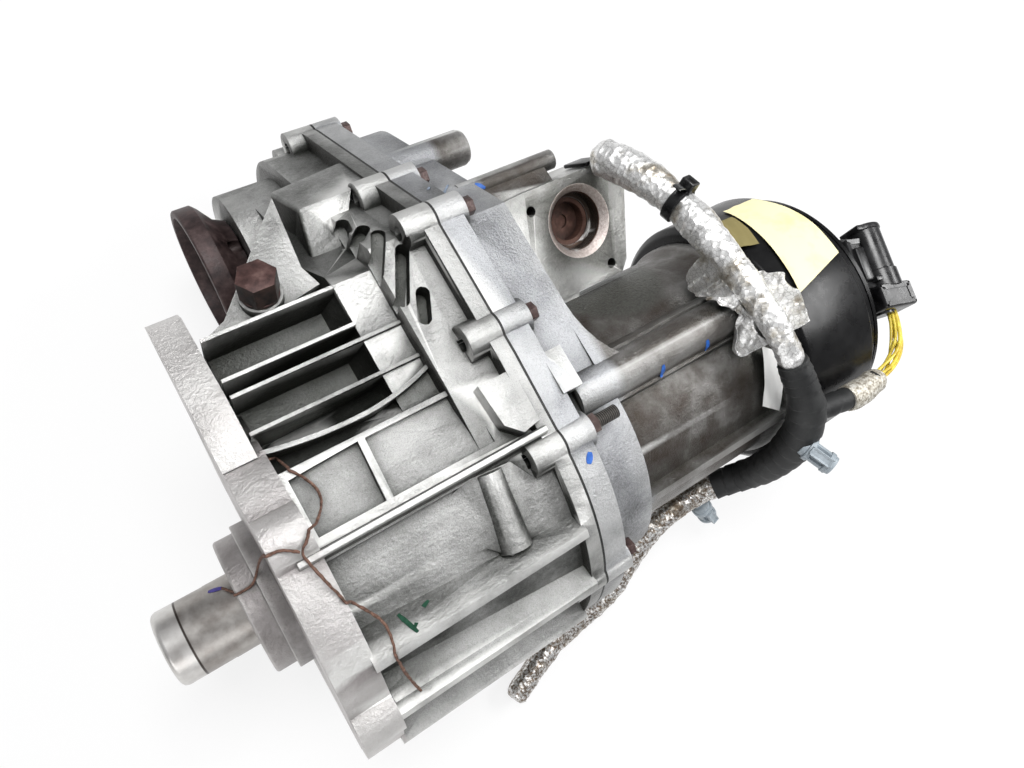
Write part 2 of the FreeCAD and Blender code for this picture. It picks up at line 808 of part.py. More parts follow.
def bore_cup():
    """Pressed cup at the bottom of the machined bore."""
    u, v = pad_bore_place
    depth = cup_depth - pad_bore_depth - 1.0
    outer = Part.makeCylinder(cup_radius, depth, vec(u, v, -cup_depth))
    inner = Part.makeCylinder(cup_radius - 3, depth, vec(u, v, -cup_depth + 3))
    dimple = Part.makeCylinder(5, depth, vec(u, v, -cup_depth + 1.5))
    return on_pad(outer.cut([inner, dimple]))


def fill_plug():
    corner = plug_across_flats / math.sqrt(3)
    points = [polar(corner, 60 * index) for index in range(6)]
    head = prism_z(points, 3 + 2, 3 + 2 + plug_head_height)
    washer = Part.makeCylinder(plug_washer_radius, 2, vec(0, 0, 3))
    thread = Part.makeCylinder(plug_thread_radius, 17, vec(0, 0, -14))
    return plug_frame(head.fuse([washer, thread]))


def drain_plug():
    body = Part.makeCylinder(drain_radius, 12, vec(drain_x, drain_y, -foot_reach + 1))
    points = [(drain_x + y, drain_y + z) for y, z in (polar(5.8, 60 * index) for index in range(6))]
    return body.cut(prism_z(points, -foot_reach, -foot_reach + 7))


# Input side

def front_retainer():
    """Stepped ring in front of the input bearing. The gearbox is centred on it."""
    lip = shaft_journal + 2.0
    nose = pilot_radius
    return turned([(retainer_front, nose_bore_radius), (retainer_front, nose - 1),
                   (retainer_front + 1, nose),
                   (-9, nose), (-9, collar_radius), (0, collar_radius), (0, retainer_flange_radius),
                   (retainer_seat, retainer_flange_radius), (retainer_seat, lip),
                   (seal_start + seal_width, lip),
                   (seal_start + seal_width, retainer_opening), (seal_start, retainer_opening),
                   (seal_start, nose_bore_radius)])


def ring_seal(inner, outer, start, end, y=0.0, z=0.0):
    """Lip seal: a pressed case with a bevelled lip."""
    middle = (inner + outer) / 2
    return turned([(start, middle), (start, outer), (end, outer), (end, inner + 2.5), (start + 3, inner),
                   (start + 1.5, inner), (start + 3, inner + 4)], y, z)


def ball_bearing(inner, outer, start, width, y=0.0, z=0.0):
    """Shielded bearing with the recess between its rings."""
    low = inner + (outer - inner) * 0.3
    high = inner + (outer - inner) * 0.7
    dip = 1.2
    return turned([(start, inner), (start, low), (start + dip, low), (start + dip, high), (start, high),
                   (start, outer), (start + width, outer), (start + width, high),
                   (start + width - dip, high),
                   (start + width - dip, low), (start + width, low), (start + width, inner)], y, z)


def input_shaft():
    """Hollow sleeve shaft with the sun gear at its rear end."""
    shaft = turned([(input_front, spline_bore_radius + 1.5), (input_front, shaft_journal - 2.5),
                    (input_front + 1.0, shaft_journal - 1.0), (input_front + 3.0, shaft_journal - 0.2),
                    (input_front + 30.0, shaft_journal - 0.2), (input_front + 30.4, shaft_journal),
                    (front_bearing_x + bearing_width + bearing_face_gap, shaft_journal),
                    (front_bearing_x + bearing_width + bearing_face_gap, 24.0), (gear_start, 24.0),
                    (gear_start, 0), (-10.0, 0), (-10.0, spline_bore_radius),
                    (input_front + 1.5, spline_bore_radius)])
    sun = outside_gear(sun_teeth, gear_start, gear_start + gear_width)
    solid = shaft.fuse(sun)
    solid = solid.cut(rod(sleeve_nose_radius + plate_gap, nose_start - plate_gap,
                          gear_start + gear_width + 1))
    return solid.cut(rod(pilot_journal + running_gap, pilot_start - 1,
                         gear_start + gear_width)).removeSplitter()


def planet_angle(index):
    return 2 * math.pi * index / planet_count


def planet_phase(index):
    """Angle of a planet tooth, so that it meshes with the sun's tooth at angle zero."""
    place = planet_angle(index)
    return place + math.pi - math.pi / planet_teeth + place * sun_teeth / planet_teeth


def planet_centre(index):
    return polar(gear_module * (sun_teeth + planet_teeth) / 2, math.degrees(planet_angle(index)))


def planet_gear(index):
    y, z = planet_centre(index)
    gear = outside_gear(planet_teeth, gear_start + plate_gap, gear_start + gear_width - plate_gap, y, z,
                        planet_phase(index))
    return gear.cut(rod(pin_radius + running_gap, gear_start - 1, gear_start + gear_width + 1, y, z))


def ring_gear():
    """Internal gear held in the bell. Its gaps meet the first planet's outer tooth."""
    turns = (planet_angle(0) - planet_phase(0)) * planet_teeth / (2 * math.pi)
    gap_angle = -2 * math.pi / ring_teeth * turns
    pitch_radius = gear_module * ring_teeth / 2
    inner = pitch_radius - ring_addendum * gear_module
    outer = pitch_radius + tooth_dedendum * gear_module
    points = gear_outline(ring_teeth, inner, outer, 1 - tooth_share, gap_angle)
    cutter = prism_x(points, gear_start - 1, gear_start + gear_width + 1)
    return rod(ring_outer_radius, gear_start, gear_start + gear_width).cut(cutter)


def planet_carrier():
    front = gear_start - carrier_plate - plate_gap
    rear = gear_start + gear_width + plate_gap
    plates = [tube(carrier_radius, 27.0, front, front + carrier_plate),
              tube(carrier_radius, sleeve_nose_radius + plate_gap, rear, rear + carrier_plate)]
    half_turn = 180 / planet_count
    for index in range(planet_count):
        spacer = block(front, rear + carrier_plate, sun_tip_radius + 2, carrier_radius - 1, -8, 8)
        spacer.rotate(vec(0, 0, 0), x_axis, math.degrees(planet_angle(index)) + half_turn)
        plates.append(spacer)
    frame = joined(plates)
    holes = [rod(pin_radius, front - 1, rear + carrier_plate + 1, *planet_centre(index))
             for index in range(planet_count)]
    return frame.cut(holes).removeSplitter()


def planet_pins():
    front = gear_start - carrier_plate - plate_gap
    rear = gear_start + gear_width + plate_gap + carrier_plate
    return [rod(pin_radius, front, rear, *planet_centre(index)) for index in range(planet_count)]


# Range shift

def range_sleeve():
    """Sliding sleeve: its nose locks the main shaft to the sun gear or to the carrier."""
    bore = spline_radius + plate_gap
    groove = groove_start
    return turned([(nose_start, bore), (nose_start, sleeve_nose_radius - 1),
                   (nose_start + 1, sleeve_nose_radius),
                   (groove - 4, sleeve_nose_radius), (groove - 4, sleeve_flange_radius),
                   (groove, sleeve_flange_radius), (groove, groove_radius),
                   (groove + groove_width, groove_radius),
                   (groove + groove_width, sleeve_flange_radius),
                   (groove + groove_width + 4, sleeve_flange_radius),
                   (groove + groove_width + 4, 34), (groove + groove_width + 10, 34),
                   (groove + groove_width + 10, bore)])


def shift_fork():
    """Fork with its pads in the sleeve's groove and its boss on the rail."""
    start = groove_start + plate_gap
    end = groove_start + groove_width - plate_gap
    arc = tube(groove_radius + 16, groove_radius + 0.5, start, end)
    keep = prism_x([(0, 0), (60, -80), (90, -80), (90, 80), (60, 80)], start - 1, end + 1)
    arm = prism_x([(52, -14), (rail_y, rail_z - 10), (rail_y, rail_z + 10), (52, 26)], start, end)
    solid = arc.common(keep).fuse([arm, rod(fork_boss_radius, fork_boss_start, fork_boss_start + 18,
                                            rail_y, rail_z)])
    solid = solid.cut(rod(groove_radius + 0.5, start - 1, end + 1))
    return solid.cut(rod(rail_radius, rail_start, rail_end, rail_y, rail_z)).removeSplitter()


def shift_rail():
    rail = rod(rail_radius, rail_start, rail_end, rail_y, rail_z)
    notches = []
    for place in (0.0, range_travel):
        notches.append(tube(rail_radius + 1, rail_radius - 1.2, rail_end - 30 - place, rail_end - 26 - place,
                            rail_y, rail_z))
    return rail.cut(notches)


# Main shaft and clutch

def main_shaft():
    return turned([(pilot_start, 0), (pilot_start, pilot_journal - 1), (pilot_start + 1, pilot_journal),
                   (60, pilot_journal), (60, spline_radius), (112, spline_radius), (112, main_shaft_radius),
                   (rear_bearing_x - bearing_face_gap, main_shaft_radius),
                   (rear_bearing_x - bearing_face_gap, shaft_journal),
                   (hub_start, shaft_journal), (hub_start, hub_spline_radius),
                   (rear_flange_end, hub_spline_radius),
                   (rear_flange_end, 12), (rear_flange_end + 14, 12), (rear_flange_end + 14, 0)])


def chain_centre_angle():
    return math.atan2(front_z, front_y)


def sprocket_profile():
    """Tooth outline just inside the chain, as (distance along the link, height) pairs."""
    tip = -chain_height / 2 - sprocket_clearance
    return [(-2.6, tip - 4.5), (-1.3, tip), (1.3, tip), (2.6, tip - 4.5)]


def sprocket(start, end, y, z):
    link_radius = sprocket_radius * math.cos(math.pi / sprocket_teeth)
    first = chain_centre_angle() + math.pi / 2 + math.pi / sprocket_teeth
    points = []
    for tooth in range(sprocket_teeth):
        angle = first - tooth * 2 * math.pi / sprocket_teeth
        for along, height in sprocket_profile():
            radius = link_radius + height
            points.append((y + radius * math.cos(angle) + along * math.sin(angle),
                           z + radius * math.sin(angle) - along * math.cos(angle)))
    return prism_x(points, start, end)


def drive_sprocket():
    start = chain_start - 1
    end = chain_start + chain_width + 1
    wheel = sprocket(start, end, 0, 0).fuse(rod(drum_hub_radius, end - 1, clutch_start + 6))
    return wheel.cut(rod(main_shaft_radius + running_gap, start - 1, clutch_start + 7)).removeSplitter()


def front_output_shaft():
    """Driven sprocket in one piece with the front output shaft."""
    wheel = sprocket(chain_start - 1, chain_start + chain_width + 1, front_y, front_z)
    r = output_shaft_radius
    shoulder = output_bearing_x + output_bearing_width + bearing_face_gap
    shaft = turned([(front_flange_front + 6, 0), (front_flange_front + 6, 10), (front_nut_seat, 10),
                    (front_nut_seat, r), (shoulder, r),
                    (shoulder, r + 5), (rear_output_bearing_x - bearing_face_gap, r + 5),
                    (rear_output_bearing_x - bearing_face_gap, r),
                    (rear_output_bearing_x + output_bearing_width - 1, r),
                    (rear_output_bearing_x + output_bearing_width - 1, 0)], front_y, front_z)
    return wheel.fuse(shaft).removeSplitter()


def chain():
    """Separate links round both sprockets, each on the tip of one tooth."""
    half = chain_pitch / 2 - chain_clearance / 2
    outer = chain_height / 2
    section = [(-half, outer), (half, outer), (half - 0.9, -outer), (-half + 0.9, -outer)]
    slope = chain_centre_angle()
    along = (math.cos(slope), math.sin(slope))
    up = (-math.sin(slope), math.cos(slope))
    straight = (chain_links - sprocket_teeth) // 2
    step = 2 * math.pi / sprocket_teeth
    link_radius = sprocket_radius * math.cos(step / 2)
    places = []
    for index in range(straight):
        run = chain_pitch * (index + 0.5)
        places.append((along[0] * run + up[0] * sprocket_radius, along[1] * run + up[1] * sprocket_radius,
                       slope))
        places.append((along[0] * run - up[0] * sprocket_radius, along[1] * run - up[1] * sprocket_radius,
                       slope + math.pi))
    for index in range(sprocket_teeth // 2):
        turn = step * (index + 0.5)
        angle = slope + math.pi / 2 - turn
        places.append((front_y + link_radius * math.cos(angle), front_z + link_radius * math.sin(angle),
                       angle - math.pi / 2))
        angle = slope + math.pi / 2 + turn
        places.append((link_radius * math.cos(angle), link_radius * math.sin(angle), angle - math.pi / 2))
    links = []
    for y, z, turn in places:
        points = [(y + s * math.cos(turn) - h * math.sin(turn), z + s * math.sin(turn) + h * math.cos(turn))
                  for s, h in section]
        links.append(prism_x(points, chain_start, chain_start + chain_width))
    return links


def clutch_drum():
    """Cup splined to the drive sprocket's hub, with slots for the steel plates' lugs."""
    r = clutch_drum_radius
    end = clutch_start + clutch_length
    cup = turned([(clutch_start, drum_hub_radius), (clutch_start, r - 3), (clutch_start + 3, r), (end, r),
                  (end, r - 4), (clutch_start + 5, r - 4), (clutch_start + 5, drum_hub_radius)])
    slots = []
    for index in range(8):
        slot = block(clutch_start + 14, end - 8, r - 6, r + 1, -3, 3)
        slot.rotate(vec(0, 0, 0), x_axis, index * 45)
        slots.append(slot)
    return cup.cut(slots)


def clutch_hub():
    start = clutch_start + 8
    end = clutch_start + 62
    return turned([(start, main_shaft_radius), (start, clutch_hub_radius), (end, clutch_hub_radius),
                   (end, clutch_hub_radius - 5), (start + 26, clutch_hub_radius - 5), (start + 26, 31),
                   (end, 31), (end, main_shaft_radius)])


def clutch_plates(inner, outer, offset):
    plates = []
    for index in range(clutch_pairs):
        start = clutch_start + 12 + offset + index * 2 * plate_pitch
        plates.append(tube(outer, inner, start, start + plate_pitch - plate_gap))
    return plates


def pressure_plate():
    start = clutch_start + 12 + clutch_pairs * 2 * plate_pitch
    return turned([(start, clutch_hub_radius + plate_gap), (start, clutch_drum_radius - 4),
                   (start + 8, clutch_drum_radius - 4), (start + 12, 56),
                   (start + 12, clutch_hub_radius + plate_gap)])


def ramp_ring():
    """Turning ramp ring that presses the clutch plates together."""
    return tube(62, 30, ramp_start, ramp_start + 9)


def fixed_ramp():
    outer = tail_radius - tail_wall - seat_gap
    return turned([(ramp_start + 9, 30), (ramp_start + 9, 62), (ramp_start + 13, outer),
                   (ramp_start + 18, outer),
                   (ramp_start + 18, 30)])


def pump_housing():
    outer = tail_radius - tail_wall - seat_gap
    return turned([(pump_start, 40), (pump_start, outer), (rear_wall_x, outer), (rear_wall_x, 34),
                   (rear_wall_x - 4, 34), (rear_wall_x - 4, 40)])


def pump_rotor():
    """Lobed oil pump rotor on the main shaft."""
    points = []
    lobes = 6
    for index in range(lobes * 4):
        radius = 37.5 if index % 4 in (0, 1) else 33.5
        points.append(polar(radius, index * 360 / (lobes * 4)))
    rotor = prism_x(points, pump_start + plate_gap, rear_wall_x - 4 - plate_gap)
    return rotor.cut(rod(main_shaft_radius, pump_start - 1, rear_wall_x + 1))


# Black actuator housing and rear output

def clutch_housing():
    r = drum_radius
    step = drum_end - 12
    return turned([(drum_start, 33), (drum_start, r - 5), (drum_start + 5, r), (step, r),
                   (step + 3, r - drum_rim_step),
                    (drum_end, r - drum_rim_step), (drum_end, r - drum_rim_step - drum_wall),
                    (step, r - drum_rim_step - drum_wall), (step - 4, r - drum_wall),
                    (drum_start + drum_wall, r - drum_wall), (drum_start + drum_wall, 33)])


def clutch_housing_cover():
    r = drum_radius - drum_rim_step
    return turned([(drum_end, rear_seal_radius), (drum_end, r), (drum_end + cover_thickness - 2, r),
                   (drum_end + cover_thickness, r - 4), (drum_end + cover_thickness, 50),
                   (drum_end + cover_thickness + 4, 44), (drum_end + cover_thickness + 4, rear_seal_radius)])


def clutch_coil():
    """Coil of the clutch actuator, on the housing's front wall."""
    start = drum_start + drum_wall
    return turned([(start, 48), (start, 80), (start + 34, 80), (start + 34, 74), (start + 28, 74),
                   (start + 28, 54),
                   (start + 34, 54), (start + 34, 48)])


def rear_output_flange():
    front = rear_flange_end - rear_flange_thickness
    hub = turned([(hub_start, hub_spline_radius), (hub_start, 30), (front, 30),
                  (front, rear_flange_radius - 1),
                  (front + 1, rear_flange_radius), (rear_flange_end - 1, rear_flange_radius),
                  (rear_flange_end, rear_flange_radius - 1), (rear_flange_end, hub_spline_radius)])
    holes = []
    for index in range(rear_flange_holes):
        y, z = polar(rear_flange_bolt_radius, 45 + index * 360 / rear_flange_holes)
        holes.append(rod(rear_flange_hole, front - 1, rear_flange_end + 1, y, z))
    return hub.cut(holes)


def shaft_nut(start, end, inner, across_flats, y=0.0, z=0.0):
    return hexagon(across_flats, start, end, y, z).cut(rod(inner, start - 1, end + 1, y, z))


def front_output_flange():
    """Rusty iron companion flange with a cupped front."""
    f = front_flange_front
    hub = output_seal_inner
    waist = 35.0
    body = turned([(f, rim_inner), (f, front_flange_rim_radius - 1), (f + 1, front_flange_rim_radius),
                   (f + 12, front_flange_rim_radius), (f + 15, front_flange_rim_radius - 3),
                   (f + 22, waist + 3),
                   (f + 28, waist), (housing_front - 1, waist), (housing_front - 1, hub),
                   (front_flange_rear, hub), (front_flange_rear, output_shaft_radius),
                   (front_nut_seat, output_shaft_radius), (front_nut_seat, hub), (front_flange_face, hub),
                   (front_flange_face, rim_inner)], front_y, front_z)
    holes = []
    for index in range(front_flange_holes):
        y, z = polar(front_flange_bolt_radius, 30 + index * 360 / front_flange_holes, front_y, front_z)
        holes.append(rod(front_flange_hole, front_flange_face - 1, housing_front, y, z))
    return body.cut(holes)


# Wiring harness. Each route is a hand-placed list of points, rounded at its corners.

def cord(name, points, radius):
    points = [vec(*point) for point in points]
    edges = []
    radii = []
    start = points[0]
    for before, corner, after in zip(points, points[1:], points[2:]):
        arriving = corner.sub(before)
        leaving = after.sub(corner)
        reach = 0.45 * min(arriving.Length, leaving.Length)
        half_turn = arriving.getAngle(leaving) / 2
        bend = reach / math.tan(half_turn)
        radii.append(round(bend))
        arriving.normalize()
        leaving.normalize()
        inward = leaving.sub(arriving)
        inward.normalize()
        first = corner.sub(arriving * reach)
        last = corner.add(leaving * reach)
        middle = corner.add(inward * (bend / math.cos(half_turn) - bend))
        edges.append(Part.LineSegment(start, first).toShape())
        edges.append(Part.Arc(first, middle, last).toShape())
        start = last
    edges.append(Part.LineSegment(start, points[-1]).toShape())
    path = Part.Wire(edges)
    circle = Part.Wire(Part.Circle(points[0], points[1].sub(points[0]), radius).toShape())
    solid = path.makePipeShell([circle], True, True)
    share = solid.Volume / (math.pi * radius ** 2 * path.Length)
    print(name, "length", round(path.Length), "bend radii", radii, "volume share", round(share, 4))
    return solid


upper_route = ((292, 142, 84), (300, 121, 95), (306, 98, 103), (310, 72, 109), (311, 45, 113),
               (313, 17, 115),
               (316, -10, 113), (321, -34, 104), (327, -53, 91))
taped_route = ((327, -53, 91), (330.4, -63.8, 84.2), (332, -79, 68), (332, -90, 44), (331, -96, 17),
               (331, -98, -6), (327, -97, -25), (312, -94, -37))
lower_route = ((312, -94, -37), (300, -92.5, -46.6), (278, -93.5, -49), (254, -97, -51), (233, -108, -64),
               (214, -124, -84), (194, -131, -100), (168, -134, -105.6), (138, -142, -105.8),
               (111, -154, -105.7))
stub_route = ((334, -73, 75), (348, -75, 77), (364, -78, 75), (381, -80, 73), (398, -79, 71))
lead_route = ((398, -79, 71), (415, -78, 69), (433, -72, 67.5), (446, -61, 67), (455, -43, 66))

# Loose connectors of the harness: rear end, mouth and the point on the harness that the stem leaves.
upper_clip = ((334, -99, 53), (338, -116, 62), (332, -88, 47))
lower_clip = ((305, -104, -58), (317, -119, -76), (301, -95, -50))


def directed_cylinder(radius, start, end):
    direction = vec(*end).sub(vec(*start))
    return Part.makeCylinder(radius, direction.Length, vec(*start), direction)


def harness_bracket():
    """Strap on the far edge of the pad, with a cap that holds the end of the foil sleeve."""
    first = vec(*upper_route[0])
    run = vec(*upper_route[1]).sub(first)
    run.normalize()
    cap = Part.makeCylinder(sleeve_radius + 1.0, 4, first.sub(run * 2), run)
    strap = on_pad(Part.makeBox(16, 3, 27, vec(18, pad_far_edge, -24)))
    sleeve = Part.makeCylinder(sleeve_radius, 30, first, run)
    pad = on_pad(Part.makeBox(140, 140, 80, vec(-70, pad_far_edge - 140, -80)))
    return cap.fuse(strap).cut([sleeve, pad]).removeSplitter()


def harness_tie():
    """Plastic tie round the foil sleeve."""
    before = vec(*upper_route[2])
    run = vec(*upper_route[3]).sub(before)
    centre = before.add(run * 0.5)
    run.normalize()
    start = centre.sub(run * 2.5)
    ring = Part.makeCylinder(sleeve_radius + 2, 5, start, run)
    ring = ring.cut(Part.makeCylinder(sleeve_radius + running_gap, 7, start.sub(run), run))
    lock = block(-3, 3, -4, 4, sleeve_radius + 1, sleeve_radius + 7)
    lock.rotate(vec(0, 0, 0), vec(0, 0, 1), 15)
    lock.translate(centre)
    return ring.fuse(lock).removeSplitter()


def heat_foil():
    """Foil heat shield laid over the tail's ridge, under the harness."""
    band = tube(foil_radius + 1.2, foil_radius, 302, drum_start - 1)
    reach = foil_radius + 10
    sector = prism_x([(0, 0), polar(reach * 1.5, 60), polar(reach * 1.5, 93)], 300, drum_start)
    return band.common(sector)


def connector_body(start, end, neck):
    """Loose connector shell: a collar, a body and an open mouth."""
    origin = vec(*start)
    run = vec(*end).sub(origin)
    length = run.Length
    body = Part.makeCylinder(7.5, length, origin, run)
    mouth = Part.makeCylinder(5.5, 12, vec(*end).sub(run * (10 / length)), run)
    collar = Part.makeCylinder(9, 5, origin.add(run * 0.35), run)
    stem = directed_cylinder(3.5, neck, start)
    return body.fuse([collar, stem]).cut(mouth).removeSplitter()


def motor_connector():
    """Black connector on the drum's cover, with its plug and the lead's outlet."""
    shell = block(connector_x - 14, connector_x + 14, -30, 22, 52, 78)
    arm = block(drum_end + cover_thickness, connector_x - 13, -16, 14, 50, 72)
    plug = block(connector_x - 12, connector_x + 12, -46.5, -30, 54, 77)
    barrel = Part.makeCylinder(11, 50, vec(connector_x, -28, 71), vec(0, 1, 0))
    return joined([shell, arm, plug, barrel])


def main():
    shapes = {
        "front_case": front_case(),
        "rear_case": rear_case(),
        "case_gasket": case_gasket(),
        "case_bolts": Part.makeCompound([flange_bolt(y, z) for y, z in bolt_places()[1:]]),
        "split_stud": split_stud(*bolt_places()[0]),
        "split_stud_nut": split_stud_nut(*bolt_places()[0]),
        "fill_plug": fill_plug(),
        "drain_plug": drain_plug(),
        "bore_cup": bore_cup(),
        "front_retainer": front_retainer(),
        "input_seal": ring_seal(shaft_journal + running_gap, retainer_opening, seal_start,
                                seal_start + seal_width),
        "input_bearing": ball_bearing(shaft_journal + running_gap, bearing_bore_radius, front_bearing_x,
                                      bearing_width),
        "input_shaft": input_shaft(),
        "ring_gear": ring_gear(),
        "planet_carrier": planet_carrier(),
        "planet_pins": Part.makeCompound(planet_pins()),
        "range_sleeve": range_sleeve(),
        "shift_fork": shift_fork(),
        "shift_rail": shift_rail(),
        "main_shaft": main_shaft(),
        "drive_sprocket": drive_sprocket(),
        "chain": Part.makeCompound(chain()),
        "front_output_shaft": front_output_shaft(),
        "front_output_bearing": ball_bearing(output_shaft_radius + running_gap, output_bearing_radius,
                                             output_bearing_x, output_bearing_width, front_y, front_z),
        "rear_output_bearing": ball_bearing(output_shaft_radius + running_gap, output_bearing_radius,
                                            rear_output_bearing_x, output_bearing_width, front_y, front_z),
        "front_output_seal": ring_seal(output_seal_inner + running_gap, output_bearing_radius,
                                       housing_front + 2,
                                       housing_front + 2 + seal_width, front_y, front_z),
        "front_output_flange": front_output_flange(),
        "front_output_nut": shaft_nut(front_nut_seat - 11, front_nut_seat, 10, 30, front_y, front_z),
        "clutch_drum": clutch_drum(),
        "clutch_hub": clutch_hub(),
        "friction_plates": Part.makeCompound(clutch_plates(clutch_hub_radius, 63, plate_pitch)),
        "steel_plates": Part.makeCompound(clutch_plates(clutch_hub_radius + 2, clutch_drum_radius - 4, 0)),
        "pressure_plate": pressure_plate(),
        "ramp_ring": ramp_ring(),
        "fixed_ramp": fixed_ramp(),
        "pump_housing": pump_housing(),
        "pump_rotor": pump_rotor(),
        "rear_bearing": ball_bearing(shaft_journal + running_gap, bearing_bore_radius, rear_bearing_x,
                                     bearing_width),
        "clutch_housing": clutch_housing(),
        "clutch_housing_cover": clutch_housing_cover(),
        "clutch_coil": clutch_coil(),
        "rear_seal": ring_seal(shaft_journal + running_gap, rear_seal_radius, drum_end,
                               drum_end + seal_width),
        "rear_output_flange": rear_output_flange(),
        "rear_output_nut": shaft_nut(rear_flange_end, rear_flange_end + 11, 12, 36),
        "motor_connector": motor_connector(),
        "harness_upper": cord("harness_upper", upper_route, sleeve_radius),
        "harness_taped": cord("harness_taped", taped_route, taped_radius),
        "harness_lower": cord("harness_lower", lower_route, sleeve_radius),
        "harness_stub": cord("harness_stub", stub_route, stub_radius),
        "motor_lead": cord("motor_lead", lead_route, lead_radius),
        "harness_bracket": harness_bracket(),
        "harness_tie": harness_tie(),
        "heat_foil": heat_foil(),
        "loose_connector_upper": connector_body(*upper_clip),
        "loose_connector_lower": connector_body(*lower_clip),
    }
    for index in range(planet_count):
        shapes["planet_gear_" + str(index + 1)] = planet_gear(index)
    for name, shape in shapes.items():
        count = len(shape.Solids)
        if not shape.isValid() or count == 0:
            print("unsound", name, count)
        save(name, shape)
    print(len(shapes), "nodes")


main()
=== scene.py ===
import math

import bmesh
import bpy
from mathutils import Matrix, Vector, noise
from mathutils.bvhtree import BVHTree


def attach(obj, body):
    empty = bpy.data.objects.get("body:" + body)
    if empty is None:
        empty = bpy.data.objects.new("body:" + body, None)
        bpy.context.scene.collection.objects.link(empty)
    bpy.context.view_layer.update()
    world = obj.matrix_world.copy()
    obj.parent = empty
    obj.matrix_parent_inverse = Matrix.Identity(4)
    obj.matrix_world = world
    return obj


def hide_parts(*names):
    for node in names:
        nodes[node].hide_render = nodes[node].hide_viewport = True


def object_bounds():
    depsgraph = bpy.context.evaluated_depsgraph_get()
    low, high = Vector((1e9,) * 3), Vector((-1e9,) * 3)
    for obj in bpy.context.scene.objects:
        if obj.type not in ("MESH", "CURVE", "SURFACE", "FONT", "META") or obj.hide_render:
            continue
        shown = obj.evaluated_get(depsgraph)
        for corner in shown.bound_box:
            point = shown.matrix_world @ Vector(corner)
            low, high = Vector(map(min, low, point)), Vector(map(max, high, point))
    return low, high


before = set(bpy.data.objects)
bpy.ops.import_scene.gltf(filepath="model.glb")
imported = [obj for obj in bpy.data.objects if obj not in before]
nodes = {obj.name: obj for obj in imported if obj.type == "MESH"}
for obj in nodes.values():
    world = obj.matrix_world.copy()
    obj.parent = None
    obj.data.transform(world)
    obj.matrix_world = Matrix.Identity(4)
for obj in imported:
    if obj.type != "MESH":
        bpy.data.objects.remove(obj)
cad_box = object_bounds()
for item in list(bpy.context.selected_objects):
    item.select_set(False)


# Camera. It stands above the joint of the case and looks down at the bench, with the input shaft
# coming towards it. Its place was worked out from the flange, the joint and the shaft.
def linked(name, data):
    """A new object with this data, put into the scene."""
    item = bpy.data.objects.new(name, data)
    bpy.context.scene.collection.objects.link(item)
    return item


right = Vector((0.8206, -0.4997, 0.2774))
up = Vector((0.4258, 0.8583, 0.2864))
behind = Vector((-0.3812, -0.1169, 0.9171))
camera_place = (-0.006635, -0.017609, 0.481753)
camera_data = bpy.data.cameras.new("camera")
camera_data.lens = 26.72
camera_data.sensor_width = 36.0
camera_data.clip_start = 0.01
camera = linked("camera", camera_data)
camera.matrix_world = Matrix.Translation(camera_place) @ Matrix((right, up, behind)).transposed().to_4x4()
bpy.context.scene.camera = camera
bpy.context.scene.view_settings.view_transform = "Standard"


# Bench, a plain pale floor just under the lowest lobe, and soft studio light: a broad lamp overhead,
# a smaller key from the rear right and a weak one from the front left. The floor is seen as white by
# the camera and in reflections, and keeps the shadow.
def node_material(name):
    material = bpy.data.materials.new(name)
    material.use_nodes = True
    return material, material.node_tree.nodes["Principled BSDF"]


def feed(socket, value):
    """Links a socket to another one, or sets it to a number, a vector or a colour."""
    if isinstance(value, bpy.types.NodeSocket):
        socket.id_data.links.new(value, socket)
    elif socket.type == "RGBA":
        socket.default_value = (*value, 1)
    else:
        socket.default_value = value


def add_node(tree, kind, output, inputs, **settings):
    """Adds a shader node with these settings and inputs, and gives back one of its outputs."""
    node = tree.nodes.new("ShaderNode" + kind)
    for name, value in settings.items():
        setattr(node, name, value)
    for name, value in inputs.items():
        feed(node.inputs[name], value)
    return node.outputs[output]


def add_math(operation, first, second):
    return add_node(first.id_data, "Math", 0, {0: first, 1: second}, operation=operation)


def add_ramp(value, stops):
    """Colour read from (place, colour) stops."""
    node = value.id_data.nodes.new("ShaderNodeValToRGB")
    ends = node.color_ramp.elements
    for end, (spot, colour) in ((ends[0], stops[0]), (ends[1], stops[-1])):
        end.position = spot
        end.color = (*colour, 1)
    for spot, colour in stops[1:-1]:
        ends.new(spot).color = (*colour, 1)
    feed(node.inputs[0], value)
    return node.outputs[0]


def add_split(vector):
    node = vector.id_data.nodes.new("ShaderNodeSeparateXYZ")
    feed(node.inputs[0], vector)
    return node.outputs["X"], node.outputs["Y"], node.outputs["Z"]


FLOOR_SIZE = 12.0
FLOOR_GAP = 0.0005
FLOOR_GLOW = 0.8
LIT_SPOT = (0.2, 0.05, 0)
bpy.ops.mesh.primitive_plane_add(size=FLOOR_SIZE, location=(0, 0, 0))
floor = bpy.context.object
floor.name = "floor"
floor.data.transform(Matrix.Translation((LIT_SPOT[0], LIT_SPOT[1], cad_box[0][2] - FLOOR_GAP)))
floor_material, floor_shader = node_material("pale_floor")
feed(floor_shader.inputs["Base Color"], (0.9, 0.9, 0.9))
feed(floor_shader.inputs["Roughness"], 0.9)
floor_tree = floor_material.node_tree
floor_rays = floor_tree.nodes.new("ShaderNodeLightPath").outputs
floor_seen = floor_rays["Is Camera Ray"]
for kind in ("Is Glossy Ray", "Is Transmission Ray"):
    floor_seen = add_math("MAXIMUM", floor_seen, floor_rays[kind])
floor_glow = add_node(floor_tree, "Emission", 0, {"Color": (1, 1, 1)})
floor_share = add_math("MULTIPLY", floor_seen, FLOOR_GLOW)
floor_mix = add_node(floor_tree, "MixShader", 0, {0: floor_share, 1: floor_shader.outputs[0], 2: floor_glow})
feed(floor_tree.nodes["Material Output"].inputs["Surface"], floor_mix)
floor.data.materials.append(floor_material)
floor.select_set(False)

